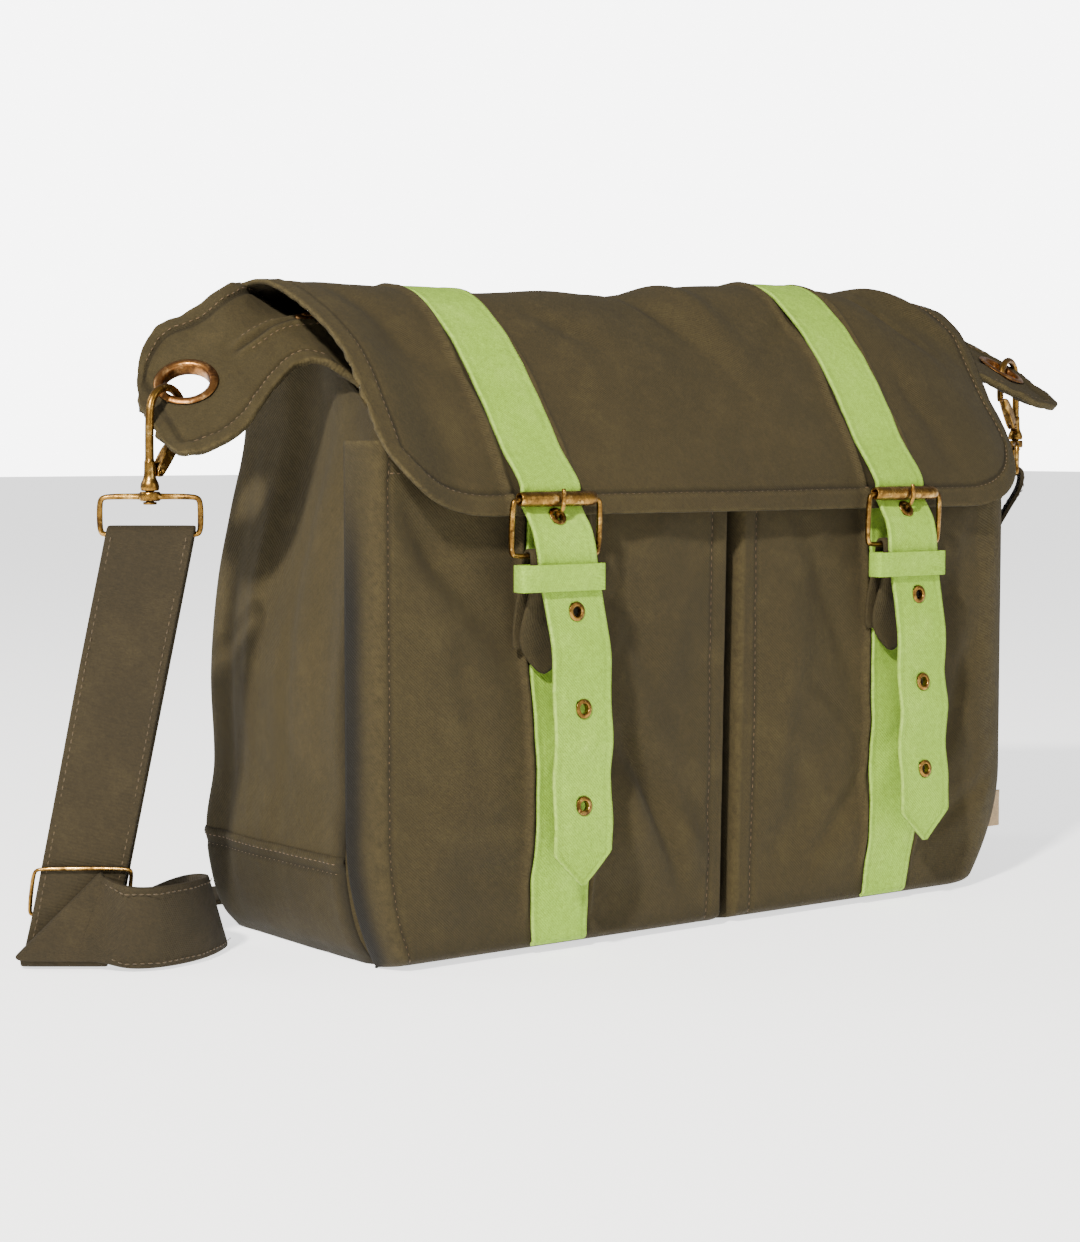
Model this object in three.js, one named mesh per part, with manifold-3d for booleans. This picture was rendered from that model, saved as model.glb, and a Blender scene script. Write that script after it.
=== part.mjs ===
// Canvas haversack with two strapped front pockets, a wide flap and a hooked shoulder strap.
// Millimetres. X runs to the right, -Y to the front, +Z up; the origin is the middle of the base.
import * as THREE from 'three';
import { mergeVertices } from 'three/addons/utils/BufferGeometryUtils.js';
import Module from 'manifold-3d';

const wasm = await Module();
wasm.setup();

// Body
const bodyWidth = 414;
const bodyDepth = 130;
const frontHeight = 242;
const backHeight = 295;
const cornerRadius = 12;
const bandHeight = 50;
const clothWall = 2.2;
const seamGap = 0.3;
const floorClear = 0.1;

// Pockets
const pocketHeight = 233;
const pocketDepth = 20;
const pocketSplit = 4;
const pocketWall = 2.0;

// Flap
const flapLeft = 208;
const flapRight = 213;
const flapBack = 188;
const flapCrest = 308;
const flapEdge = 200;
const flapCornerWide = 60;
const flapCornerHigh = 44;
const flapEase = 10.4;

// Closing straps and buckles
const strapWidth = 32;
const strapWall = 1.8;
const strapSpacing = 212;
const strapShift = -1.5;
const stripWall = 1.4;
const layGap = 0.5;
const ridgeHigh = 2.4;
const ridgeWide = 5;
const buckleWide = 52;
const buckleHigh = 29;
const buckleWire = 3;
const buckleBend = 3;
const buckleTop = 211;
const rollerSize = 7.4;
const prongWire = 2.2;
const prongRing = 1.4;
const buckleLeft = -11.5;
const buckleRight = -6.5;
const leadLeft = -12;
const leadRight = -6;
const keeperWide = 47;
const keeperHigh = 12;
const keeperWall = 1.4;
const chapeWide = 31;
const chapeDrop = 54;
const chapeWall = 1.8;
const tailTip = 33;
const tailPoint = 15;
const eyeletPitch = 43.8;
const eyeletTop = 199;
const eyeletSize = 10.5;
const eyeletHole = 5.2;
const eyeletBarrel = 0.5;

// Top with its ears
const earRoot = 187;
const earLengthLeft = 99;
const earLengthRight = 107;
const earHalfWidth = 40;
const earWall = 4.2;
const mouthFall = 40;
const zipSlot = 9;
const zipTapeWide = 22;
const zipTapeWall = 1.0;
const zipChainWide = 6;
const zipChainWall = 1.8;
const zipHalf = 196;
const grommetOuter = 31;
const grommetHole = 21;
const grommetLeft = 75;
const grommetRight = 86;

// Snap hooks and bails
const hookReach = 23;
const hookWire = 4.2;
const postWire = 5.2;
const hookHigh = 50;
const barrelSize = 8.8;
const barrelHigh = 5;
const stemSize = 3.2;
const triggerThick = 4.6;
const triggerHigh = 16.5;
const pinSize = 1.7;
const bailWide = 47;
const bailHigh = 20;
const bailWire = 3;

// Shoulder strap
const webbingWide = 38;
const webbingWall = 2.5;
const sliderWire = 2.2;
const sliderHigh = 23;
const sliderRise = 22;

// Side label
const labelHigh = 20;
const labelDeep = 9;
const labelWall = 1.0;

const halfWidth = bodyWidth / 2;
const halfDepth = bodyDepth / 2;
const strapPlace = { left: strapShift - strapSpacing / 2, right: strapShift + strapSpacing / 2 };
const strapLead = { left: leadLeft, right: leadRight };
const buckleOffset = { left: buckleLeft, right: buckleRight };
const flapPlace = { left: strapPlace.left + leadLeft, right: strapPlace.right + leadRight };
const sides = ['left', 'right'];
const facing = { left: -1, right: 1 };

// Colours and finishes
function finish(color, roughness, metalness = 0) {
  return new THREE.MeshStandardMaterial({ color, roughness, metalness });
}
const canvas = finish(0x5a4d36, 0.92);
const lime = finish(0xa9cb7f, 0.88);
const zipCloth = finish(0x3a2a30, 0.85);
const brass = finish(0x9a7a42, 0.38, 1);
const copper = finish(0xb07a45, 0.4, 1);
const labelCloth = finish(0xcdb89a, 0.8);

const haversack = new THREE.Group();

function addPiece(name, geometry, material, parent = haversack) {
  const piece = new THREE.Mesh(geometry, material);
  piece.name = name;
  parent.add(piece);
  return piece;
}

// Tables and curves
function slopeBetween(rows, inName, outName, from, to) {
  return (rows[to][outName] - rows[from][outName]) / (rows[to][inName] - rows[from][inName]);
}

// One column of a table, read smoothly between its rows
function readTable(rows, inName, outName, place) {
  const last = rows.length - 1;
  if (place <= rows[0][inName]) return rows[0][outName];
  if (place >= rows[last][inName]) return rows[last][outName];
  let row = 0;
  while (rows[row + 1][inName] < place) row += 1;
  const span = rows[row + 1][inName] - rows[row][inName];
  const t = (place - rows[row][inName]) / span;
  const start = span * slopeBetween(rows, inName, outName, Math.max(row - 1, 0), row + 1);
  const end = span * slopeBetween(rows, inName, outName, row, Math.min(row + 2, last));
  const rise = t * t * (3 - 2 * t);
  const mix = rows[row][outName] * (1 - rise) + rows[row + 1][outName] * rise;
  return mix + start * t * (1 - t) * (1 - t) - end * t * t * (1 - t);
}

function smoothStep(value) {
  const t = Math.min(Math.max(value, 0), 1);
  return t * t * (3 - 2 * t);
}

function evenSteps(from, to, count) {
  return Array.from({ length: count + 1 }, (unused, k) => from + ((to - from) * k) / count);
}

// Soft creases: each row is one fold, with its place, run, width and depth
function creaseDepth(folds, across, along) {
  let depth = 0;
  for (const fold of folds) {
    const turn = (fold.turn * Math.PI) / 180;
    const dx = across - fold.across;
    const dz = along - fold.along;
    const run = dx * Math.cos(turn) + dz * Math.sin(turn);
    const off = -dx * Math.sin(turn) + dz * Math.cos(turn);
    depth += fold.depth * Math.exp(-((off / fold.width) ** 2) - (run / fold.run) ** 2);
  }
  return depth;
}

// Closed solids from rings and grids of points
function solidFrom(points, faces) {
  const place = new Float32Array(points.flatMap((p) => [p.x, p.y, p.z]));
  let volume = 0;
  const a = new THREE.Vector3();
  const b = new THREE.Vector3();
  const c = new THREE.Vector3();
  for (const face of faces) {
    a.copy(points[face[0]]);
    b.copy(points[face[1]]);
    c.copy(points[face[2]]);
    volume += a.dot(b.cross(c));
  }
  const outward = volume > 0 ? faces : faces.map((face) => [face[0], face[2], face[1]]);
  const geometry = new THREE.BufferGeometry();
  geometry.setAttribute('position', new THREE.BufferAttribute(place, 3));
  geometry.setIndex(outward.flat());
  return geometry;
}

// Direction of a line of points at one of them; at an end the bend of the line is carried on
function slopeAt(line, k) {
  const last = line.length - 1;
  if (k > 0 && k < last) return line[k + 1].clone().sub(line[k - 1]).normalize();
  const step = k === 0 ? 1 : -1;
  const first = line[k + step].clone().sub(line[k]);
  const second = line[k + 2 * step].clone().sub(line[k + step]);
  const share = first.length() / (first.length() + second.length());
  first.normalize();
  return first.addScaledVector(second.normalize().sub(first), -share).multiplyScalar(step).normalize();
}

function gridNormal(grid, i, j) {
  const along = slopeAt(grid.map((column) => column[j]), i);
  return along.cross(slopeAt(grid[i], j)).normalize();
}

// Sheet with a wall: the outer face follows the surface, and relief stands proud of it
function sheetSolid(surface, columns, rows, wall, relief = () => 0) {
  const grid = columns.map((u) => rows.map((v) => surface(u, v)));
  const wide = columns.length;
  const high = rows.length;
  const points = [];
  const skin = (layer, i, j) => layer * wide * high + i * high + j;
  for (const layer of [0, 1]) {
    for (let i = 0; i < wide; i += 1) {
      for (let j = 0; j < high; j += 1) {
        const normal = gridNormal(grid, i, j);
        const shift = layer === 0 ? relief(columns[i], rows[j]) : -wall(columns[i], rows[j]);
        const point = grid[i][j].clone().addScaledVector(normal, shift);
        points.push(point.setZ(Math.max(point.z, floorClear)));
      }
    }
  }
  const faces = [];
  const quad = (p, q, r, s) => faces.push([p, q, r], [p, r, s]);
  for (let i = 0; i + 1 < wide; i += 1) {
    for (let j = 0; j + 1 < high; j += 1) {
      quad(skin(0, i, j), skin(0, i + 1, j), skin(0, i + 1, j + 1), skin(0, i, j + 1));
      quad(skin(1, i, j), skin(1, i, j + 1), skin(1, i + 1, j + 1), skin(1, i + 1, j));
    }
    quad(skin(1, i, 0), skin(1, i + 1, 0), skin(0, i + 1, 0), skin(0, i, 0));
    quad(skin(0, i, high - 1), skin(0, i + 1, high - 1), skin(1, i + 1, high - 1), skin(1, i, high - 1));
  }
  for (let j = 0; j + 1 < high; j += 1) {
    quad(skin(0, 0, j), skin(0, 0, j + 1), skin(1, 0, j + 1), skin(1, 0, j));
    quad(skin(1, wide - 1, j), skin(1, wide - 1, j + 1), skin(0, wide - 1, j + 1), skin(0, wide - 1, j));
  }
  return solidFrom(points, faces);
}

// Rings of equal size joined in order, closed on themselves or with flat ends
function ringSolid(rings, closed = false) {
  const sizeOf = rings[0].length;
  const points = rings.flat();
  const faces = [];
  const steps = closed ? rings.length : rings.length - 1;
  for (let k = 0; k < steps; k += 1) {
    const here = k * sizeOf;
    const next = ((k + 1) % rings.length) * sizeOf;
    for (let s = 0; s < sizeOf; s += 1) {
      const t = (s + 1) % sizeOf;
      if (2 * s < sizeOf) faces.push([here + s, here + t, next + t], [here + s, next + t, next + s]);
      else faces.push([here + s, here + t, next + s], [here + t, next + t, next + s]);
    }
  }
  if (!closed) {
    const end = (rings.length - 1) * sizeOf;
    for (let s = 1; s + 1 < sizeOf; s += 1) {
      faces.push([0, s + 1, s], [end, end + s, end + s + 1]);
    }
  }
  return solidFrom(points, faces);
}

// Ribbon from stations that give its two edges and the side that its face looks to
function ribbonSolid(stations, wall, closed = false) {
  const rings = stations.map(({ near, far, face }) => [
    near.clone().addScaledVector(face, wall / 2),
    far.clone().addScaledVector(face, wall / 2),
    far.clone().addScaledVector(face, -wall / 2),
    near.clone().addScaledVector(face, -wall / 2),
  ]);
  return ringSolid(rings, closed);
}

// Wire along a flat path in the X-Z plane, with a many-sided round section
function wireSolid(path, wire, sidesRound, closed = false) {
  const count = path.length;
  const rings = path.map((point, k) => {
    const before = path[closed ? (k - 1 + count) % count : Math.max(k - 1, 0)];
    const after = path[closed ? (k + 1) % count : Math.min(k + 1, count - 1)];
    const along = new THREE.Vector2(after.x - before.x, after.y - before.y).normalize();
    return Array.from({ length: sidesRound }, (unused, s) => {
      const turn = ((s + 0.5) * 2 * Math.PI) / sidesRound;
      const out = (wire / 2) * Math.cos(turn);
      return new THREE.Vector3(
        point.x + along.y * out,
        (wire / 2) * Math.sin(turn),
        point.y - along.x * out,
      );
    });
  });
  return ringSolid(rings, closed);
}

// Rounded rectangle as a flat path, anticlockwise
function roundedLoop(wide, high, radius, steps) {
  const path = [];
  const corners = [[1, 1, 0], [-1, 1, 1], [-1, -1, 2], [1, -1, 3]];
  for (const [right, up, quarter] of corners) {
    for (let k = 0; k <= steps; k += 1) {
      const turn = (quarter + k / steps) * (Math.PI / 2);
      path.push(new THREE.Vector2(
        right * (wide / 2 - radius) + radius * Math.cos(turn),
        up * (high / 2 - radius) + radius * Math.sin(turn),
      ));
    }
  }
  return path;
}

// Turned piece: a closed profile of radius and height, spun about the Z axis
function turnedSolid(profile, sidesRound) {
  const outline = [...profile, profile[0]].map(([radius, height]) => new THREE.Vector2(radius, height));
  return cleanSolid(new THREE.LatheGeometry(outline, sidesRound).rotateX(Math.PI / 2));
}

function cleanSolid(geometry) {
  geometry.deleteAttribute('normal');
  geometry.deleteAttribute('uv');
  const merged = mergeVertices(geometry, 1e-4);
  const place = merged.getAttribute('position');
  const points = Array.from({ length: place.count }, (unused, k) => new THREE.Vector3().fromBufferAttribute(place, k));
  const index = Array.from(merged.index.array);
  const faces = [];
  for (let k = 0; k < index.length; k += 3) {
    const face = index.slice(k, k + 3);
    if (new Set(face).size === 3) faces.push(face);
  }
  return solidFrom(points, faces);
}

// Joining and cutting
function bodyOf(geometry) {
  return new wasm.Manifold(new wasm.Mesh({
    numProp: 3,
    vertProperties: geometry.getAttribute('position').array,
    triVerts: new Uint32Array(geometry.index.array),
  }));
}

function geometryOf(body) {
  const mesh = body.getMesh();
  const geometry = new THREE.BufferGeometry();
  geometry.setAttribute('position', new THREE.BufferAttribute(new Float32Array(mesh.vertProperties), 3));
  geometry.setIndex(Array.from(mesh.triVerts));
  return geometry;
}

function cut(geometry, tools) {
  return geometryOf(tools.reduce((body, tool) => body.subtract(bodyOf(tool)), bodyOf(geometry)));
}

function join(pieces) {
  return geometryOf(pieces.map(bodyOf).reduce((body, piece) => body.add(piece)));
}

function discTool(radius, height, sidesRound, frame) {
  const tool = turnedSolid([[0, -height / 2], [radius, -height / 2], [radius, height / 2], [0, height / 2]], sidesRound);
  return frame ? tool.applyMatrix4(frame) : tool;
}

// Frame whose Z axis is the given normal and whose Y axis leans to the given up direction
function frameAt(place, normal, up) {
  const across = up.clone().cross(normal).normalize();
  const lift = normal.clone().cross(across);
  return new THREE.Matrix4().makeBasis(across, lift, normal).setPosition(place);
}

// Body walls. The width of the body changes with height, as a share of its half width.
const bodyWaist = [
  { height: 0.0, width: 0.925 },
  { height: 0.03, width: 0.962 },
  { height: 0.08, width: 0.99 },
  { height: 0.17, width: 1.007 },
  { height: 0.27, width: 0.985 },
  { height: 0.42, width: 0.99 },
  { height: 0.56, width: 0.972 },
  { height: 0.68, width: 0.935 },
  { height: 0.8, width: 0.895 },
  { height: 1.0, width: 0.885 },
];

function waistAt(height) {
  return halfWidth * readTable(bodyWaist, 'height', 'width', height / backHeight);
}

// Path along one wall from corner seam to corner seam: place along it and fall at its ends
function wallPath(half, share) {
  const flat = half - cornerRadius;
  const reach = flat + (cornerRadius * Math.PI) / 4 - seamGap / 2 - 0.15;
  const run = (share * 2 - 1) * reach;
  if (Math.abs(run) <= flat) return { along: run, fall: 0 };
  const turn = (Math.abs(run) - flat) / cornerRadius;
  return {
    along: Math.sign(run) * (flat + cornerRadius * Math.sin(turn)),
    fall: cornerRadius * (1 - Math.cos(turn)),
  };
}

function wallColumns(half, flatSteps) {
  const corner = (cornerRadius * Math.PI) / 4 / (2 * (half - cornerRadius) + (cornerRadius * Math.PI) / 2);
  return [...evenSteps(0, corner, 2), ...evenSteps(corner, 1 - corner, flatSteps).slice(1, -1),
    ...evenSteps(1 - corner, 1, 2)];
}

// Front and back walls bow a little where the load presses on them
const backBow = 5;
function faceWall(front, share, height) {
  const half = waistAt(height);
  const { along, fall } = wallPath(half, share);
  const swell = front ? 0 : backBow * Math.cos((Math.PI * along) / (2 * half)) * Math.sin((Math.PI * height) / backHeight);
  const out = halfDepth - fall + swell;
  return new THREE.Vector3(along, front ? -out : out, height);
}

// Side walls are tucked in under the ears and belly out above the base
const sideFolds = [
  { across: 0.05, along: 0.86, turn: 90, run: 0.3, width: 0.28, depth: -7 },
  { across: 0.0, along: 0.34, turn: 90, run: 0.2, width: 0.6, depth: 2.5 },
  { across: -0.62, along: 0.62, turn: 84, run: 0.34, width: 0.16, depth: -3 },
];
function sideWall(side, share, height) {
  const { along, fall } = wallPath(halfDepth, share);
  const inset = smoothStep((1 - Math.abs(along) / halfDepth) * 4);
  const swell = creaseDepth(sideFolds, along / halfDepth, height / backHeight) * inset;
  return new THREE.Vector3(facing[side] * (waistAt(height) - fall + swell), along, height);
}

const frontRows = [0, bandHeight / 2, ...evenSteps(bandHeight, frontHeight, 8)];
const backRows = [0, bandHeight / 2, ...evenSteps(bandHeight, backHeight, 8)];
addPiece('front_panel', sheetSolid(
  (u, v) => faceWall(true, u, v),
  wallColumns(halfWidth, 3),
  frontRows,
  () => clothWall,
), canvas);
addPiece('back_panel', sheetSolid(
  (u, v) => faceWall(false, 1 - u, v),
  wallColumns(halfWidth, 7),
  backRows,
  () => clothWall,
), canvas);

// Base, a flat board of cloth just inside the walls
const baseHalfX = waistAt(0) - clothWall - seamGap;
const baseHalfY = halfDepth - clothWall - seamGap;
const baseRadius = Math.max(cornerRadius - clothWall, 1);
const baseOutline = new THREE.Shape(roundedLoop(2 * baseHalfX, 2 * baseHalfY, baseRadius, 3));
addPiece('base_panel', cleanSolid(new THREE.ExtrudeGeometry(baseOutline, { depth: clothWall, bevelEnabled: false })), canvas);

// Top sheet: a valley over the mouth that runs out into a drooping ear at each end
const mouthFront = frontHeight + clothWall + seamGap;
const mouthLow = mouthFront + mouthFall / 2 - 3;
const earShape = [
  { along: -0.5, half: 1.6, back: 1.6 },
  { along: -0.12, half: 1.5, back: 1.5 },
  { along: 0.0, half: 1.05, back: 1.2 },
  { along: 0.12, half: 0.78, back: 0.92 },
  { along: 0.25, half: 0.72, back: 0.78 },
  { along: 0.4, half: 0.8, back: 0.76 },
  { along: 0.61, half: 1.03, back: 0.9 },
  { along: 0.73, half: 1.07, back: 0.96 },
  { along: 0.83, half: 1.01, back: 0.83 },
  { along: 0.9, half: 0.92, back: 0.66 },
  { along: 0.97, half: 0.74, back: 0.36 },
  { along: 1.0, half: 0.45, back: 0.1 },
];
const earDroop = { left: 31, right: 14 };
const earRoll = { left: 38, right: 30 };
const earLength = { left: earLengthLeft, right: earLengthRight };
const earBend = 0.3;
const earMiddle = -6;
const endRise = 28;
const mouthHalf = halfDepth - clothWall - seamGap - 0.5;

// Place of the middle line of the top sheet at a run from the middle of the bag
function earLine(run) {
  const side = run < 0 ? 'left' : 'right';
  const share = Math.max(Math.abs(run) - earRoot, 0) / earLength[side];
  const droop = (earDroop[side] * Math.PI) / 180;
  const bent = share < earBend ? (share * share) / (2 * earBend) : share - earBend / 2;
  const reach = earLength[side] * share * (1 - (1 - Math.cos(droop)) * smoothStep(share / earBend));
  const curl = side === 'left' ? 1.5 * smoothStep((share - 0.82) / 0.18) : 0;
  return {
    side,
    share,
    x: facing[side] * (Math.min(Math.abs(run), earRoot) + reach),
    z: mouthLow + endRise * smoothStep((Math.abs(run) / earRoot - 0.4) / 0.6)
      - earLength[side] * Math.sin(droop) * bent - curl,
    roll: (earRoll[side] * Math.PI) / 180,
  };
}

function topHalf(run, line, column) {
  const inner = (Math.abs(run) - earRoot) / earLength[line.side];
  const across = earHalfWidth * readTable(earShape, 'along', column, inner);
  return Math.min(across, mouthHalf);
}

function topPoint(run, share) {
  const line = earLine(run);
  const across = share * topHalf(run, line, share < 0 ? 'half' : 'back');
  const inside = 1 - smoothStep(line.share / 0.2);
  const turned = smoothStep(share < 0 ? (line.share + 0.02) / 0.3 : (line.share - 0.1) / 0.35);
  const backTop = mouthFront + mouthFall + 5 * smoothStep(Math.abs(run) / earRoot);
  const slope = share < 0 ? (line.z + 3 * inside - mouthFront) / mouthHalf : (backTop - 3 * inside - line.z) / mouthHalf;
  const valley = 3 * share * share * inside;
  const middle = earMiddle * smoothStep((Math.abs(run) / earRoot - 0.55) / 0.45);
    return new THREE.Vector3(
    line.x,
    middle * (1 - Math.abs(share) * (1 - smoothStep(line.share / 0.1))) + across * (1 - turned * (1 - Math.cos(line.roll))),
    line.z + across * (slope * (1 - turned) + Math.sin(line.roll) * turned) + valley,
  );
}

function topFrame(run, share = 0) {
  const small = 0.5;
  const place = topPoint(run, share);
  const along = topPoint(run + small, share).sub(topPoint(run - small, share)).normalize();
  const across = topPoint(run, share + 0.02).sub(topPoint(run, share - 0.02)).normalize();
  return { place, along, across, normal: along.clone().cross(across).normalize() };
}

const earColumns = [1.0, 0.985, 0.95, 0.88, 0.78, 0.64, 0.5, 0.36, 0.22, 0.1, 0.0];
const topColumns = [
  ...earColumns.map((share) => -earRoot - share * earLengthLeft),
  ...[-0.8, -0.4, 0, 0.4, 0.8].map((share) => share * earRoot),
  ...earColumns.map((share) => earRoot + share * earLengthRight).reverse(),
];
const topRows = [-1, -0.62, -0.25, 0.05, 0.5, 1];
// Side walls reach up to just under the sheet
const mouthClear = clothWall + zipTapeWall + 4.8;
function sideTop(side, along) {
  const run = facing[side] * waistAt(backHeight);
  let low = -1;
  let high = 1;
  for (let k = 0; k < 12; k += 1) {
    const middle = (low + high) / 2;
    if (topPoint(run, middle).y < along) low = middle;
    else high = middle;
  }
  return topPoint(run, low).z - mouthClear;
}

for (const side of sides) {
  const forward = (u) => (side === 'left' ? 1 - u : u);
  const lowEdge = bandHeight + seamGap + 0.4;
  addPiece(`side_panel_${side}`, sheetSolid(
    (u, v) => {
      const top = sideTop(side, wallPath(halfDepth, forward(u)).along);
      return sideWall(side, forward(u), lowEdge + v * (top - lowEdge));
    },
    wallColumns(halfDepth, 5),
    evenSteps(0, 1, 8),
    () => clothWall,
  ), canvas);
  addPiece(`side_band_${side}`, sheetSolid(
    (u, v) => sideWall(side, forward(u), v),
    wallColumns(halfDepth, 5),
    evenSteps(0, bandHeight, 2),
    () => clothWall,
  ), canvas);
}

const topWall = (run) => clothWall + (earWall - clothWall) * smoothStep((Math.abs(run) - earRoot) / 18);

// Zip along the valley, its slot, tape, closed chain and slider
function zipRibbon(runs, wide, offset, wall) {
  const stations = runs.map((run) => {
    const { place, across, normal } = topFrame(run);
    const middle = place.clone().addScaledVector(normal, offset + clothWall - topWall(run));
    return {
      near: middle.clone().addScaledVector(across, -wide / 2),
      far: middle.clone().addScaledVector(across, wide / 2),
      face: normal,
    };
  });
  return ribbonSolid(stations, wall);
}
const slotTool = zipRibbon(evenSteps(-zipHalf, zipHalf, 12), zipSlot, 0, 6 * clothWall);
const tapeDrop = seamGap + 1.5;
const zipRuns = [-zipHalf - 3, ...topColumns.filter((run) => Math.abs(run) < zipHalf), zipHalf + 3];
const tapeShares = [-1, 0, 1].map((k) => (k * zipTapeWide) / 2 / mouthHalf);
function tapePoint(run, share) {
  const { place, normal } = topFrame(run, share);
  return place.addScaledVector(normal, -topWall(run) - tapeDrop);
}
addPiece('zip_tape', sheetSolid(tapePoint, zipRuns, tapeShares, () => zipTapeWall), zipCloth);
const chainOffset = -clothWall - tapeDrop + seamGap + 0.5 + zipChainWall / 2;
const sliderLong = 10;
const chainFrom = -zipHalf + sliderLong + 3;
const chainRuns = [chainFrom, ...zipRuns.filter((run) => run > chainFrom + 1 && run < zipHalf - 3), zipHalf - 2];
addPiece('zip_chain', zipRibbon(chainRuns, zipChainWide, chainOffset, zipChainWall), copper);
const zipSliderAt = topFrame(-zipHalf + sliderLong / 2 + 1.5);
const zipSliderBase = zipSliderAt.place.clone().addScaledVector(zipSliderAt.normal, -topWall(zipHalf) - tapeDrop + seamGap + 0.8);
const zipBody = cleanSolid(new THREE.BoxGeometry(sliderLong, zipSlot - 1.4, 4.4).translate(0, 0, 2.2));
const zipPull = cleanSolid(new THREE.BoxGeometry(17, 5, 1.4).translate(7, 0, 4.8));
const zipSlider = addPiece('zip_slider', join([zipBody, zipPull]), copper);
zipSlider.applyMatrix4(new THREE.Matrix4().makeBasis(zipSliderAt.along, zipSliderAt.across, zipSliderAt.normal)
  .setPosition(zipSliderBase));

// Grommets, one in each ear
const grommetFrames = {};
for (const side of sides) {
  const run = side === 'left' ? -earRoot - grommetLeft : earRoot + grommetRight;
  const { place, across, normal } = topFrame(run);
  grommetFrames[side] = frameAt(place.clone().addScaledVector(normal, -earWall / 2), normal, across);
}
const grommetClear = 0.3;
const earHole = grommetHole / 2 + 1.6;
addPiece('top_panel', cut(
  sheetSolid(topPoint, topColumns, topRows, topWall),
  [slotTool, ...sides.map((side) => discTool(earHole, 5 * earWall, 16, grommetFrames[side]))],
), canvas);
const rimSeat = earWall / 2 + 0.55;
const grommetRadius = grommetOuter / 2;
const grommetBore = grommetHole / 2;
const grommet = () => turnedSolid([
  [grommetBore, -rimSeat - 0.4],
  [grommetRadius - 2.5, -rimSeat - 1.0],
  [grommetRadius - 1.5, -rimSeat],
  [earHole - grommetClear, -rimSeat],
  [earHole - grommetClear, rimSeat],
  [grommetRadius, rimSeat],
  [grommetRadius - 2.6, rimSeat + 1.6],
  [grommetBore, rimSeat + 0.6],
], 14);
for (const side of sides) {
  addPiece(`grommet_${side}`, grommet(), copper).applyMatrix4(grommetFrames[side]);
}

// Pockets. Their edges are quarter ellipses, given as a slant along the front and the full depth.
const pocketForm = {
  left: { from: -(halfWidth - cornerRadius * 0.3), to: -pocketSplit / 2, fromSlant: -6, toSlant: 6 },
  right: { from: pocketSplit / 2, to: halfWidth - cornerRadius * 0.5, fromSlant: 6, toSlant: 32 },
};
const pocketFoot = 7;
const pocketStand = 0.6;
const pocketLean = 0.66;
const cornerFrom = 160;
const footRound = 62;
const footTuck = { left: 14, right: 28 };
const pocketFolds = {
  left: [
    { across: -0.42, along: 0.86, turn: -58, run: 0.2, width: 0.05, depth: -3 },
    { across: -0.1, along: 0.3, turn: -52, run: 0.24, width: 0.04, depth: -6 },
    { across: -0.02, along: 0.16, turn: -60, run: 0.16, width: 0.05, depth: 4 },
    { across: -0.27, along: 0.3, turn: 0, run: 0.2, width: 0.26, depth: 6 },
  ],
  right: [
    { across: 0.25, along: 0.35, turn: 0, run: 0.2, width: 0.3, depth: 5 },
    { across: 0.38, along: 0.72, turn: 62, run: 0.2, width: 0.045, depth: -2.5 },
    { across: 0.12, along: 0.2, turn: 58, run: 0.2, width: 0.05, depth: -3 },
  ],
};

function pocketSwell(side, x, z) {
  const edge = Math.min(x - pocketForm[side].from, pocketForm[side].to - x) / pocketDepth;
  const calm = smoothStep(edge * 0.6) * smoothStep(z / pocketHeight * 5) * smoothStep((pocketHeight - z) / 40);
  return creaseDepth(pocketFolds[side], x / bodyWidth, z / pocketHeight) * calm;
}

// Front face of a pocket at a place across the bag and a height
function pocketFace(side, x, z) {
  return halfDepth + seamGap + pocketDepth + pocketSwell(side, x, z);
}

const pocketEdgeSteps = 3;
function pocketPoint(side, u, v) {
  const form = pocketForm[side];
  const start = Math.min(u, 0);
  const end = Math.max(u - 1, 0);
  const turnIn = (1 + start) * (Math.PI / 2);
  const turnOut = end * (Math.PI / 2);
  const openX = start < 0 ? Math.sin(turnIn) : Math.cos(turnOut);
  const left = form.from + form.fromSlant;
  const right = form.to - form.toSlant;
  const flat = left + (right - left) * Math.min(Math.max(u, 0), 1);
  const x = flat - form.fromSlant * (start < 0 ? Math.cos(turnIn) : 0) + form.toSlant * Math.sin(turnOut);
  const foot = Math.min(v, 0);
  const turnFoot = (1 + foot) * (Math.PI / 2);
  const openZ = Math.sin(turnFoot);
  const z = v > 0 ? pocketFoot + v * (pocketHeight - pocketFoot) : seamGap + pocketFoot * (1 - Math.cos(turnFoot)) * 0.96;
  const inner = side === 'left' ? form.to : form.from;
  const outer = side === 'left' ? form.from : form.to;
  const low = Math.max(1 - z / footRound, 0);
  const tuck = footTuck[side] * low * low * ((x - inner) / (outer - inner)) ** 3;
  const corner = smoothStep((Math.abs(x) - cornerFrom) / 40) * (side === 'left' ? 1 : 0);
  const rightEnd = (1 - pocketLean) * smoothStep((x - 145) / 40);
  const lean = 1 - (pocketLean + rightEnd) * (1 - corner) * smoothStep((z - pocketHeight + 33) / 40);
  const proud = lean * (pocketFace(side, x, z) - halfDepth - seamGap) * openX * openZ;
  return new THREE.Vector3(x - facing[side] * tuck, -halfDepth - pocketStand - pocketWall * (1 - openX) * (1 - openZ) - proud, z);
}

// Columns that keep the strip between its two ridges
function ridgeColumns(centre) {
  const edge = strapWidth / 2 + 0.4;
  return [-edge - ridgeWide, -edge - ridgeWide / 2, -edge, edge, edge + ridgeWide / 2, edge + ridgeWide]
    .map((offset) => centre + offset);
}

function ridgeRelief(x, centre) {
  const off = Math.abs(Math.abs(x - centre) - strapWidth / 2 - 0.4 - ridgeWide / 2);
  return ridgeHigh * Math.max(0, 1 - off / (ridgeWide / 2));
}

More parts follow.
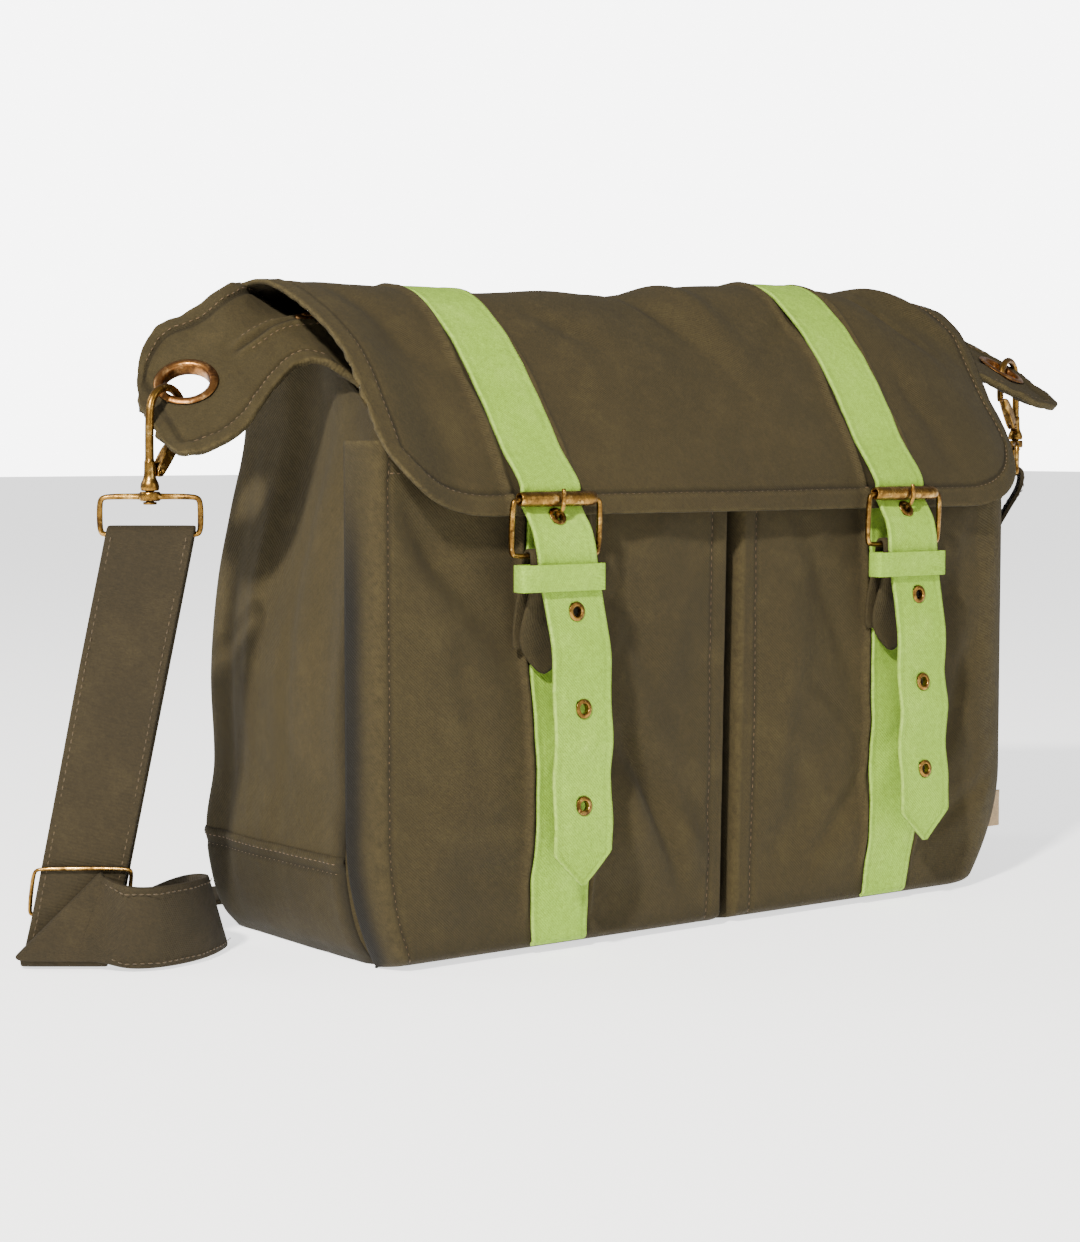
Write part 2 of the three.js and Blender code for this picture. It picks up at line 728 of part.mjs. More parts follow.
const pocketRows = [-1, -0.5, ...evenSteps(0, 0.84, 5), 0.92, 1];
for (const side of sides) {
  const form = pocketForm[side];
  const left = form.from + form.fromSlant;
  const right = form.to - form.toSlant;
  const share = (x) => (x - left) / (right - left);
  const ridges = ridgeColumns(strapPlace[side]).map(share);
  const columns = [
    -1, -0.6, -0.25, 0,
    ...evenSteps(0, ridges[0], 3).slice(1),
    ...ridges.slice(1),
    ...evenSteps(ridges[5], 1, 3).slice(1),
    1.25, 1.6, 2,
  ];
  const relief = (u, v) => (u > 0 && u < 1 && v > 0 ? ridgeRelief(left + u * (right - left), strapPlace[side]) : 0);
  addPiece(`pocket_${side}`, sheetSolid(
    (u, v) => pocketPoint(side, u, v),
    columns,
    pocketRows,
    () => pocketWall,
    relief,
  ), canvas);
  const stripRows = pocketRows.filter((v) => v >= 0 && v < 1);
  const stations = [...stripRows, 0.95].map((v) => {
    const rim = (x) => {
      const point = pocketPoint(side, share(x), v);
      return point.setY(point.y - layGap - stripWall / 2);
    };
    const near = rim(strapPlace[side] - strapWidth / 2);
    const far = rim(strapPlace[side] + strapWidth / 2);
    return { near, far, face: new THREE.Vector3(0, -1, 0) };
  });
  addPiece(`pocket_strip_${side}`, ribbonSolid(stations, stripWall), lime);
}

// Flap. Its profile runs from the back seam over the crest and down the front.
const flapFront = halfDepth + pocketDepth + flapEase;
const flapStart = new THREE.Vector2(halfDepth - 2, backHeight + clothWall + seamGap + 0.4);
const flapRows = [
  { forward: 0.158, height: 0.954 },
  { forward: 0.303, height: 0.991 },
  { forward: 0.398, height: 0.995 },
  { forward: 0.492, height: 0.954 },
  { forward: 0.587, height: 0.861 },
  { forward: 0.682, height: 0.731 },
  { forward: 0.758, height: 0.611 },
  { forward: 0.821, height: 0.481 },
  { forward: 0.884, height: 0.352 },
  { forward: 0.941, height: 0.204 },
  { forward: 0.985, height: 0.074 },
  { forward: 1.0, height: 0.0 },
];
const flapProfile = new THREE.SplineCurve([flapStart, ...flapRows.map(({ forward, height }) => new THREE.Vector2(
  flapStart.x - forward * (flapStart.x + flapFront),
  flapEdge + height * (flapCrest - flapEdge),
))]);
flapProfile.arcLengthDivisions = 400;
const flapLong = flapProfile.getLength();
const crestLift = [
  { across: -1.0, lift: -0.008 },
  { across: -0.78, lift: -0.006 },
  { across: -0.48, lift: -0.014 },
  { across: -0.2, lift: 0.002 },
  { across: 0.02, lift: 0.0 },
  { across: 0.25, lift: 0.018 },
  { across: 0.5, lift: 0.016 },
  { across: 0.78, lift: 0.02 },
  { across: 1.0, lift: -0.004 },
];
const flapFolds = [
  { across: 0.8, along: 0.42, turn: 58, run: 0.22, width: 0.07, depth: -5 },
  { across: 0.62, along: 0.5, turn: 66, run: 0.2, width: 0.08, depth: 3 },
  { across: -0.12, along: 0.3, turn: 60, run: 0.25, width: 0.09, depth: -3 },
  { across: -0.72, along: 0.62, turn: 28, run: 0.2, width: 0.06, depth: -2 },
  { across: 0.15, along: 0.72, turn: -30, run: 0.25, width: 0.08, depth: 2.5 },
];

// Half width of the flap: it leaves the seam narrow and widens over the crest
function flapSpan(side, share) {
  const full = side === 'left' ? flapLeft : flapRight;
  return flapBack + (full - flapBack) * smoothStep(share / 0.2);
}

function flapReach(x) {
  const edge = x < 0 ? flapLeft + x : flapRight - x;
  if (edge >= flapCornerWide) return 1;
  const turn = 1 - edge / flapCornerWide;
  return 1 - (flapCornerHigh / flapLong) * (1 - Math.sqrt(Math.max(1 - turn * turn, 0)));
}

// The right end of the flap wraps back round the side
const wrapStart = 160;
const wrapDepth = 14;

// The left end is pushed out by the corner of the pocket under it
const cornerPush = 16;

// Point of the flap for a place across it at full width and a share of its length
function flapPoint(x, share) {
  const at = Math.min(share, 1);
  const profile = flapProfile.getPointAt(at);
  const side = x < 0 ? 'left' : 'right';
  const full = side === 'left' ? flapLeft : flapRight;
  const narrowed = x * (flapSpan(side, at) / full);
  const across = x / full;
  const free = smoothStep(at / 0.12);
  const hang = (profile.y - flapEdge) / (flapCrest - flapEdge);
  const lift = flapCrest * readTable(crestLift, 'across', 'lift', across) * free * hang;
  const slope = flapProfile.getTangentAt(at);
  const calm = free * smoothStep((1 - at) * 6);
  const swell = creaseDepth(flapFolds, across, at) * calm;
  const wrap = x > wrapStart ? wrapDepth * ((x - wrapStart) / (flapRight - wrapStart)) ** 2 * smoothStep((at - 0.35) / 0.4) : 0;
  const push = cornerPush * smoothStep((-cornerFrom - x) / 40) * smoothStep((at - 0.3) / 0.3) * smoothStep((1.15 - at) / 0.3);
  return new THREE.Vector3(narrowed, profile.x + slope.y * swell + wrap - push, profile.y + lift - slope.x * swell);
}

const cornerTurns = [1, 0.9, 0.7, 0.42, 0];
const flapColumns = [
  ...cornerTurns.map((turn) => -flapLeft + flapCornerWide * (1 - turn)),
  ...ridgeColumns(flapPlace.left),
  ...[-0.28, -0.08, 0.12, 0.3].map((share) => flapPlace.left + (0.5 + share) * strapSpacing),
  ...ridgeColumns(flapPlace.right),
  ...cornerTurns.map((turn) => flapRight - flapCornerWide * (1 - turn)).reverse(),
].sort((a, b) => b - a);
const flapStations = [0, 0.06, 0.15, 0.25, 0.36, 0.47, 0.57, 0.66, 0.75, 0.84, 0.93, 1];
addPiece('flap', sheetSolid(
  (x, v) => flapPoint(x, v * flapReach(x)),
  flapColumns,
  flapStations,
  () => clothWall,
  (x, v) => (v > 0.03 ? Math.max(...sides.map((side) => ridgeRelief(x, flapPlace[side]))) : 0),
), canvas);

// Closing straps: sewn down the flap, through the buckle and its keeper, with a hanging tail
const rollerZ = buckleTop - rollerSize / 2;
const barZ = buckleTop - buckleHigh;
const rollerY = -(flapFront + layGap + strapWall + 0.9 + rollerSize / 2);
const foldRadius = buckleWire / 2 + 0.3 + chapeWall / 2;
const barY = rollerY + 1.2;
const strapOverBar = barY - foldRadius - chapeWall / 2 - 0.35 - strapWall / 2;
const eyeletY = (rollerY + rollerSize / 2 + 0.5 + strapOverBar) / 2 + 0.6;

// Shares of the drop from the buckle to the tip, and how far the tail stands off the bar line
const tailWave = [
  { drop: 0.0, stand: 0.0 },
  { drop: 0.1, stand: 0.3 },
  { drop: 0.2, stand: -0.4 },
  { drop: 0.32, stand: -1.2 },
  { drop: 0.46, stand: 0.4 },
  { drop: 0.6, stand: -1.4 },
  { drop: 0.74, stand: 0.6 },
  { drop: 0.88, stand: -1.0 },
  { drop: 1.0, stand: -0.6 },
];
const leadFall = 94;
const tailSwing = { left: 0, right: 6 };
const flapPart = flapStations.filter((share) => share > 0.02 && share < 0.9);

// The strap leaves the flap a little to the left of where its tail hangs
function strapShiftAt(side, height) {
  return strapLead[side] * (1 - smoothStep((rollerZ + 7 - height) / leadFall));
}

function strapLine(side) {
  const middle = flapPlace[side];
  const line = flapPart.map((share) => {
    const near = flapPoint(middle + strapWidth / 2, share);
    const far = flapPoint(middle - strapWidth / 2, share);
    const slope = flapProfile.getTangentAt(share);
    const face = new THREE.Vector3(0, slope.y, -slope.x).normalize();
    const lift = layGap + strapWall / 2;
    return { near: near.addScaledVector(face, lift), far: far.addScaledVector(face, lift), face };
  });
  const behindRoller = rollerY + rollerSize / 2 + 0.7 + strapWall / 2;
  const route = [
    new THREE.Vector2(behindRoller - 0.1, rollerZ + 7),
    new THREE.Vector2(behindRoller, rollerZ - 1),
    new THREE.Vector2(eyeletY + 2.9, eyeletTop + 4.6),
    new THREE.Vector2(eyeletY, eyeletTop),
    new THREE.Vector2(eyeletY - 2.9, eyeletTop - 5.2),
    new THREE.Vector2(strapOverBar, barZ + 4),
  ];
  const tail = tailWave.map(({ drop, stand }) => new THREE.Vector2(
    strapOverBar + stand,
    barZ - 3 - drop * (barZ - 3 - tailTip - tailPoint),
  ));
  const free = [...route, ...tail, new THREE.Vector2(strapOverBar, tailTip)];
  const last = free.length - 1;
  const tailStart = route.length;
  free.forEach((point, k) => {
    const before = free[Math.max(k - 1, 0)];
    const after = free[Math.min(k + 1, last)];
    const slope = after.clone().sub(before).normalize();
    const half = k === last ? 1.2 : strapWidth / 2;
    const swing = strapPlace[side] + strapShiftAt(side, point.y) + tailSwing[side] * Math.max((k - tailStart) / (last - tailStart), 0);
    line.push({
      near: new THREE.Vector3(swing + half, point.x, point.y),
      far: new THREE.Vector3(swing - half, point.x, point.y),
      face: new THREE.Vector3(0, slope.y, -slope.x),
    });
  });
  return line;
}

// Frame of the strap where an eyelet sits, found by height on the free part of the strap
function strapFrame(line, height) {
  let k = flapPart.length;
  while (line[k + 1].near.z > height) k += 1;
  const above = line[k].near.clone().add(line[k].far).multiplyScalar(0.5);
  const below = line[k + 1].near.clone().add(line[k + 1].far).multiplyScalar(0.5);
  const t = (above.z - height) / (above.z - below.z);
  const along = above.clone().sub(below).normalize();
  const face = new THREE.Vector3(1, 0, 0).cross(along).normalize();
  return frameAt(above.lerp(below, t), face, new THREE.Vector3(0, 0, 1));
}

const eyeletCount = 4;
const barrelRadius = eyeletHole / 2 + eyeletBarrel;
const eyelet = () => turnedSolid([
  [eyeletHole / 2, -strapWall / 2 - 0.9],
  [eyeletSize / 2 - 0.5, -strapWall / 2 - 0.35],
  [barrelRadius, -strapWall / 2 - 0.35],
  [barrelRadius, strapWall / 2 + 0.35],
  [eyeletSize / 2, strapWall / 2 + 0.35],
  [eyeletHole / 2, strapWall / 2 + 1.2],
], 8);

for (const side of sides) {
  const line = strapLine(side);
  const eyeletFrames = evenSteps(0, eyeletCount - 1, eyeletCount - 1)
    .map((k) => strapFrame(line, k === 0 ? eyeletTop : eyeletTop - eyeletPitch * k + 1.8));
  const strap = ribbonSolid(line, strapWall);
  const holes = eyeletFrames.map((frame) => discTool(barrelRadius + 0.3, 4 * strapWall, 8, frame));
  addPiece(`strap_${side}`, cut(strap, holes), lime);
  eyeletFrames.forEach((frame, k) => {
    addPiece(`eyelet_${side}_${k + 1}`, eyelet(), brass).applyMatrix4(frame);
  });

  // Buckle in a frame of its own: X across, Z up, with its lower bar at the height of the group
  const buckle = new THREE.Group();
  buckle.position.set(strapPlace[side] + buckleOffset[side], barY, barZ);
  haversack.add(buckle);
  const lean = (rollerY - barY) / (rollerZ - barZ);
  const ringHigh = rollerZ - barZ;
  const ring = roundedLoop(buckleWide - buckleWire, ringHigh, buckleBend, 2);
  const frameGeometry = wireSolid(ring, buckleWire, 6, true).translate(0, 0, ringHigh / 2);
  const place = frameGeometry.getAttribute('position');
  for (let k = 0; k < place.count; k += 1) place.setY(k, place.getY(k) + lean * place.getZ(k));
  addPiece(`buckle_frame_${side}`, frameGeometry, brass, buckle);
  const rollerLong = buckleWide - buckleWire - 2 * buckleBend - 1;
  const bore = buckleWire / 2 + 0.35;
  const roller = turnedSolid([
    [bore, -rollerLong / 2],
    [rollerSize / 2, -rollerLong / 2],
    [rollerSize / 2, rollerLong / 2],
    [bore, rollerLong / 2],
  ], 10);
  addPiece(`buckle_roller_${side}`, roller.rotateY(Math.PI / 2).translate(0, rollerY - barY, ringHigh), brass, buckle);

  // Prong: a ring round the lower bar and a shank up through the first eyelet, over the roller
  const ringInner = buckleWire / 2 + 0.3;
  const ringOuter = ringInner + prongRing;
  const collar = turnedSolid([
    [ringInner, -1.6],
    [ringOuter, -1.6],
    [ringOuter, 1.6],
    [ringInner, 1.6],
  ], 8).rotateY(Math.PI / 2);
  const eyeY = eyeletY - barY;
  const eyeZ = eyeletTop - barZ;
  const overRoller = rollerY - barY - rollerSize / 2 - prongWire / 2 - 0.3;
  const roundRoller = (overRoller + lean * ringHigh) * Math.SQRT1_2 - 0.3;
  const shank = new THREE.SplineCurve([
    new THREE.Vector2(0.4, ringInner + prongRing / 2),
    new THREE.Vector2(1.8, (ringOuter + eyeZ) / 2 - 2),
    new THREE.Vector2(eyeY + 2.0, eyeZ - 3.4),
    new THREE.Vector2(eyeY, eyeZ),
    new THREE.Vector2(eyeY - 2.1, eyeZ + 3.0),
    new THREE.Vector2(-lean * ringHigh + roundRoller, ringHigh + roundRoller),
    new THREE.Vector2(overRoller - 0.2, ringHigh),
    new THREE.Vector2(overRoller + 0.8, ringHigh + 4.4),
  ]).getPoints(10);
  const shankBody = wireSolid(shank, prongWire, 6).rotateZ(Math.PI / 2);
  const prongShift = strapShiftAt(side, eyeletTop) - buckleOffset[side];
  addPiece(`buckle_prong_${side}`, join([collar, shankBody]).translate(prongShift, 0, 0), brass, buckle);

  // Chape: cloth folded round the lower bar, its two layers sewn down to the pocket in a point
  const chapeEnd = pocketFace(side, strapPlace[side], barZ - chapeDrop) + layGap + stripWall + layGap;
  const backTop = barY + foldRadius;
  const backFoot = -(chapeEnd + chapeWall / 2);
  const frontFoot = backFoot - chapeWall - 0.6;
  const chapeRoute = [
    { y: backFoot, z: -chapeDrop + 12, half: 1 },
    { y: backFoot + 0.2, z: -chapeDrop * 0.55, half: 1 },
    { y: (backFoot + backTop) / 2 - 0.3, z: -chapeDrop * 0.28, half: 1 },
    { y: backTop, z: -2, half: 1 },
  ];
  for (let k = 1; k <= 5; k += 1) {
    const turn = (k / 6) * Math.PI;
    chapeRoute.push({ y: barY + foldRadius * Math.cos(turn), z: foldRadius * Math.sin(turn), half: 1 });
  }
  chapeRoute.push(
    { y: barY - foldRadius, z: -2, half: 1 },
    { y: barY - foldRadius + 0.2, z: -keeperHigh - 4, half: 1 },
    { y: (barY - foldRadius + frontFoot) / 2 + 0.4, z: -chapeDrop * 0.5, half: 1 },
    { y: frontFoot, z: -chapeDrop + 12, half: 1 },
    { y: frontFoot, z: -chapeDrop, half: 0.08 },
  );
  const chapeStations = chapeRoute.map(({ y, z, half }, k) => {
    const before = chapeRoute[Math.max(k - 1, 0)];
    const after = chapeRoute[Math.min(k + 1, chapeRoute.length - 1)];
    const slope = new THREE.Vector2(after.y - before.y, after.z - before.z).normalize();
    return {
      near: new THREE.Vector3(-half * chapeWide / 2, y - barY, z),
      far: new THREE.Vector3(half * chapeWide / 2, y - barY, z),
      face: new THREE.Vector3(0, slope.y, -slope.x),
    };
  });
  const prongSlot = cleanSolid(new THREE.BoxGeometry(5.2, 12, 12).translate(prongShift, 0, 1.5));
  addPiece(`chape_${side}`, cut(ribbonSolid(chapeStations, chapeWall), [prongSlot]), canvas, buckle);

  // Keeper: a closed loop of tape between the layers of the chape and over the strap
  const keeperTop = -ringOuter - 0.4;
  const keeperBack = (backTop + barY - foldRadius) / 2 + 0.5 - barY;
  const keeperFront = strapOverBar - strapWall / 2 - 1.0 - keeperWall / 2 - barY;
  const keeperDeep = keeperBack - keeperFront;
  const keeperLoop = roundedLoop(keeperWide - keeperWall, keeperDeep, 1.6, 2);
  const keeperStations = keeperLoop.map((point, k) => {
    const before = keeperLoop[(k - 1 + keeperLoop.length) % keeperLoop.length];
    const after = keeperLoop[(k + 1) % keeperLoop.length];
    const slope = after.clone().sub(before).normalize();
    const middle = (keeperBack + keeperFront) / 2;
    return {
      near: new THREE.Vector3(point.x, point.y + middle, keeperTop - keeperHigh),
      far: new THREE.Vector3(point.x, point.y + middle, keeperTop),
      face: new THREE.Vector3(slope.y, -slope.x, 0),
    };
  });
  addPiece(`keeper_${side}`, ribbonSolid(keeperStations, keeperWall, true), lime, buckle);
}

// Snap hooks. Each stands in a group whose X axis runs from its post to its tip.
const hookTurn = { left: 21, right: 200 };
const hookSeat = 2.4;
const hookRise = { left: -0.3, right: 8.5 };
const lugWall = 1.6;
const triggerClear = 0.3;
const bossRadius = 4.6;
const bossHigh = 4.2;
const hubDrop = hookHigh - hookWire / 2;
const pivotX = postWire / 2 + 2.4;
const pivotZ = bossHigh / 2 + 0.3 + barrelHigh + 3;
const tipZ = hubDrop - 24;
const triggerTop = tipZ + 2;
const triggerNose = hookReach - hookWire / 2 - triggerClear;
const hubs = {};

for (const side of sides) {
  const eye = new THREE.Vector3().setFromMatrixPosition(grommetFrames[side]);
  const turn = (hookTurn[side] * Math.PI) / 180;
  const toTip = new THREE.Vector3(Math.cos(turn), Math.sin(turn), 0);
  const hook = new THREE.Group();
  hook.position.copy(eye).addScaledVector(toTip, -hookReach - hookSeat).add(new THREE.Vector3(0, 0, hookRise[side] - hubDrop));
  hook.rotation.z = turn;
  haversack.add(hook);
  hubs[side] = hook.position.clone();

  const stemRadius = stemSize / 2;
  const postRadius = postWire / 2;
  const barrelBase = bossHigh / 2 + 0.3;
  const stem = turnedSolid([
    [0, -bossHigh / 2 - 1.5],
    [stemSize, -bossHigh / 2 - 1.5],
    [stemSize, -bossHigh / 2 - 0.3],
    [stemRadius, -bossHigh / 2 - 0.3],
    [stemRadius, barrelBase],
    [barrelSize / 2, barrelBase],
    [barrelSize / 2, barrelBase + barrelHigh * 0.75],
    [postRadius, barrelBase + barrelHigh],
    [postRadius, barrelBase + barrelHigh + 8],
    [0, barrelBase + barrelHigh + 8],
  ], 10);
  const arch = evenSteps(0, 1, 6).map((share) => new THREE.Vector2(
    (hookReach / 2) * (1 - Math.cos(Math.PI * share)),
    hubDrop - hookReach / 2 + (hookReach / 2) * Math.sin(Math.PI * share),
  ));
  const bend = wireSolid([
    new THREE.Vector2(0, barrelBase + barrelHigh + 1),
    ...arch,
    new THREE.Vector2(hookReach, tipZ),
  ], hookWire, 8);
  const lug = cleanSolid(new THREE.BoxGeometry(pivotX + 1.6, lugWall, 3.4).translate((pivotX + 1.6) / 2, 0, pivotZ));
  const pin = cleanSolid(new THREE.CylinderGeometry(pinSize / 2, pinSize / 2, triggerThick, 8).translate(pivotX, 0, pivotZ));
  addPiece(`snap_hook_${side}`, join([stem, bend, lug, pin]), brass, hook);

  const wedge = new THREE.Shape([
    [pivotX - 2.05, pivotZ - 1.9],
    [pivotX + 2.0, pivotZ - 2.2],
    [triggerNose, triggerTop - 1.6],
    [triggerNose, triggerTop],
    [triggerNose - 7.4, triggerTop],
    [pivotX - 0.6, pivotZ + 3.0],
    [pivotX - 2.05, pivotZ + 0.5],
  ].map(([x, z]) => new THREE.Vector2(x, z)));
  const blade = cleanSolid(new THREE.ExtrudeGeometry(wedge, { depth: triggerThick, bevelEnabled: false })
    .rotateX(Math.PI / 2).translate(0, triggerThick / 2, 0));
  const slot = cleanSolid(new THREE.BoxGeometry(8, lugWall + 2 * triggerClear, 8).translate(pivotX - 0.6, 0, pivotZ + 0.4));
  const pinHole = cleanSolid(new THREE.CylinderGeometry(pinSize / 2 + triggerClear, pinSize / 2 + triggerClear, 2 * triggerThick, 8)
    .translate(pivotX, 0, pivotZ));
  addPiece(`trigger_${side}`, cut(blade, [slot, pinHole]), brass, hook);
}

// Bails: rectangular wire loops that turn on the stems of the hooks
const bailTurn = { left: -37, right: 45 };
const bailDrop = bailHigh - bailWire;
for (const side of sides) {
  const bail = new THREE.Group();
  bail.position.copy(hubs[side]);
  bail.rotation.z = (bailTurn[side] * Math.PI) / 180;
  haversack.add(bail);
  const loop = wireSolid(roundedLoop(bailWide - bailWire, bailDrop, 3, 2), bailWire, 6, true).translate(0, 0, -bailDrop / 2);
  const boss = discTool(bossRadius, bossHigh, 10);
  const bore = discTool(stemSize / 2 + 0.35, 3 * bossHigh, 10);
  addPiece(`bail_${side}`, cut(join([loop, boss]), [bore]), brass, bail);
}

// Shoulder strap. Directions of the hanging stretch: across it, and out from it to the viewer.
const hangTurn = (bailTurn.left * Math.PI) / 180;
const hangAcross = new THREE.Vector3(Math.cos(hangTurn), Math.sin(hangTurn), 0);
const hangOut = new THREE.Vector3(Math.sin(hangTurn), -Math.cos(hangTurn), 0);
const up = new THREE.Vector3(0, 0, 1);
const hangLean = -0.066;
const hangSlant = 0.215;
const floorGap = 0.15;
const webbingZ = webbingWall / 2 + floorGap;
const foldBend = 2.2;
const overBail = bailWire / 2 + 0.8 + webbingWall / 2;
const bailBar = hubs.left.clone().addScaledVector(up, -bailDrop);
const hangFoot = bailBar.clone()
  .addScaledVector(hangOut, hangLean * bailBar.z + overBail)
  .addScaledVector(hangAcross, -hangSlant * bailBar.z)
  .setZ(0);

// Point of the hanging stretch: out from its face, up from the floor, and along its width
function hangPoint(out, height, along) {
  return hangFoot.clone()
    .addScaledVector(hangOut, out - hangLean * height)
    .addScaledVector(hangAcross, along + hangSlant * height)
    .addScaledVector(up, height);
}

const halfWebbing = webbingWide / 2;
const route = [];
function hang(out, height) {
  route.push([hangPoint(out, height, -halfWebbing), hangPoint(out, height, halfWebbing)]);
}

// Round a bar that runs along the width, from one turn to another in half circles
function hangRound(out, height, radius, from, to, steps) {
  for (const turn of evenSteps(from, to, steps)) {
    hang(out + radius * Math.cos(turn * Math.PI), height + radius * Math.sin(turn * Math.PI));
  }
}

const sliderBar = sliderWire / 2 + 0.6 + webbingWall / 2;
const lowerBarOut = -(webbingWall + 0.35 + sliderBar);
hang(lowerBarOut + sliderBar, sliderRise + 15);
hangRound(lowerBarOut, sliderRise, sliderBar, 0, -1, 4);
const backOut = lowerBarOut - sliderBar;
const barOut = -overBail;
for (const share of [0.25, 0.5, 0.75, 0.93]) {
  hang(backOut + (barOut - overBail - backOut) * share, sliderRise + (bailBar.z - sliderRise) * share);
}
hangRound(barOut, bailBar.z, overBail, 1, 0, 5);
const hangBow = [
  { fallen: 0.1, out: 0.0 },
  { fallen: 0.28, out: 2.2 },
  { fallen: 0.46, out: 1.0 },
  { fallen: 0.64, out: -0.3 },
  { fallen: 0.78, out: 0.0 },
  { fallen: 0.9, out: 0.0 },
];
for (const { fallen, out } of hangBow) hang(out, bailBar.z * (1 - fallen));

// The hanging stretch turns up at the floor, then folds over and runs off to the right
for (const turn of evenSteps(0, 1, 4)) {
  const rim = (along) => hangPoint(0, 0, along)
    .addScaledVector(hangOut, foldBend * (1 - Math.cos(turn * Math.PI)))
    .addScaledVector(up, webbingZ + foldBend * (1 - Math.sin(turn * Math.PI)));
  route.push([rim(-halfWebbing), rim(halfWebbing)]);
}

// Diagonal fold that turns the strap from one direction to another and lays it a layer further out.
// The pivot edge keeps to the corner while the other edge runs on by the width.
function foldOver(corner, onward, inward, lift, pivotFirst) {
  const at = (p, q, rise) => corner.clone()
    .addScaledVector(onward, p)
    .addScaledVector(inward, q)
    .addScaledVector(lift, rise);
  const bend = 1.9;
  const slip = 0.5;
  const put = (pivot, swing) => route.push(pivotFirst ? [pivot, swing] : [swing, pivot]);
  for (const share of [0.35, 0.68]) {
    put(at(0, slip * share, 0), at(webbingWide, webbingWide * share, 0));
  }
  for (const turn of evenSteps(0, 1, 4)) {
    const rise = bend * (1 - Math.cos(turn * Math.PI));
    const push = bend * Math.sin(turn * Math.PI) * Math.SQRT1_2;
    put(at(-push, slip + push, rise), at(webbingWide - push, webbingWide + push, rise));
  }
  for (const share of [0.33, 0.66, 1]) {
    put(at(webbingWide * share, slip, 2 * bend), at(webbingWide + slip * share, webbingWide, 2 * bend));
  }
  return 2 * bend;
}

const turnUp = hangPoint(2 * foldBend, 0, -halfWebbing).addScaledVector(up, webbingZ + foldBend);
foldOver(turnUp, hangAcross, up, hangOut, true);

// The band that stands on its edge: how far its lower and upper edges lie from the fold
const bandRun = [
  { across: 1.24, out: 0.2, topAcross: 1.28, topOut: 0.36, top: 1.0 },
  { across: 1.65, out: 0.11, topAcross: 1.66, topOut: 0.33, top: 1.0 },
  { across: 2.05, out: -0.34, topAcross: 1.98, topOut: -0.1, top: 0.99 },
  { across: 2.22, out: -0.86, topAcross: 2.1, topOut: -0.55, top: 0.97 },
  { across: 2.28, out: -1.3, topAcross: 2.06, topOut: -0.98, top: 0.93 },
  { across: 2.0, out: -1.63, topAcross: 1.68, topOut: -1.45, top: 0.85 },
  { across: 1.71, out: -1.94, topAcross: 1.13, topOut: -1.57, top: 0.58 },
  { across: 1.43, out: -2.26, topAcross: 0.69, topOut: -1.76, top: 0.27 },
];
const bandFloor = webbingZ;
const bandStart = hangPoint(2 * foldBend, 0, -halfWebbing);
for (const row of bandRun) {
  const edge = (across, out, height) => bandStart.clone()
    .addScaledVector(hangAcross, across * webbingWide)
    .addScaledVector(hangOut, out * webbingWide)
    .addScaledVector(up, height);
  const rise = bandFloor + row.top * (webbingWide - 1);
  route.push([edge(row.across, row.out, bandFloor), edge(row.topAcross, row.topOut, rise)]);
}

// The hidden stretch lies flat on the floor, round the left side and behind the back
const laneGap = 12;
const backGap = 60;
const laneLeft = -(halfWidth + laneGap + halfWebbing);
const laneBack = halfDepth + backGap;
const flat = (x, y, turnDegrees, height = webbingZ) => {
  const turn = (turnDegrees * Math.PI) / 180;
  const side = new THREE.Vector3(Math.cos(turn), Math.sin(turn), 0).multiplyScalar(halfWebbing);
  const middle = new THREE.Vector3(x, y, height);
  route.push([middle.clone().add(side), middle.clone().sub(side)]);
};
const riseBar = hubs.right.clone().addScaledVector(up, -bailDrop);
const riseFoot = new THREE.Vector3(halfWidth + 21, laneBack - 30, webbingZ);
const laneTurn = 30;
const laneStart = laneBack - laneTurn;
for (const turn of evenSteps(0, 90, 5)) {
  const swing = (turn * Math.PI) / 180;
  flat(laneLeft + laneTurn * (1 - Math.cos(swing)), laneStart + laneTurn * Math.sin(swing), -turn);
}
const laneWiggle = [
  { across: -0.55, off: 1.5 },
  { across: -0.2, off: -0.5 },
  { across: 0.15, off: 1.0 },
  { across: 0.5, off: 0.0 },
];
for (const { across, off } of laneWiggle) flat(across * halfWidth, laneBack + off, -90);
for (const turn of evenSteps(90, 180, 5)) {
  const swing = (turn * Math.PI) / 180;
  flat(riseFoot.x - laneTurn * (1 + Math.cos(swing)), laneStart + laneTurn * Math.sin(swing), -turn);
}

// It rises to the right bail, goes round the lower bar and is sewn back on itself
const bailAcross = new THREE.Vector3(Math.cos((bailTurn.right * Math.PI) / 180), Math.sin((bailTurn.right * Math.PI) / 180), 0);
const bailBehind = new THREE.Vector3(-bailAcross.y, bailAcross.x, 0);
function byBail(back, height) {
  return riseBar.clone().addScaledVector(bailBehind, back).addScaledVector(up, height);
}
const rise = new THREE.CatmullRomCurve3([
  riseFoot,
  riseFoot.clone().add(new THREE.Vector3(1, -13, 1)),
  riseFoot.clone().add(new THREE.Vector3(3, -22, 11)),
  byBail(46, -142),
  byBail(40, -92),
  byBail(25, -42),
  byBail(overBail + 3, -9),
]);
const risePoints = rise.getPoints(12).slice(1);
risePoints.forEach((point, k) => {
  const half = new THREE.Vector3(1, 0, 0).lerp(bailAcross, smoothStep((k + 1) / risePoints.length)).setLength(halfWebbing);
  route.push([point.clone().sub(half), point.clone().add(half)]);
});
function acrossBar(back, height) {
  const point = byBail(back, height);
  route.push([point.clone().addScaledVector(bailAcross, -halfWebbing), point.clone().addScaledVector(bailAcross, halfWebbing)]);
}
for (const turn of evenSteps(0, 1, 5)) acrossBar(overBail * Math.cos(turn * Math.PI), overBail * Math.sin(turn * Math.PI));
acrossBar(-overBail + 0.6, -8);
acrossBar(-overBail + 7, -18);
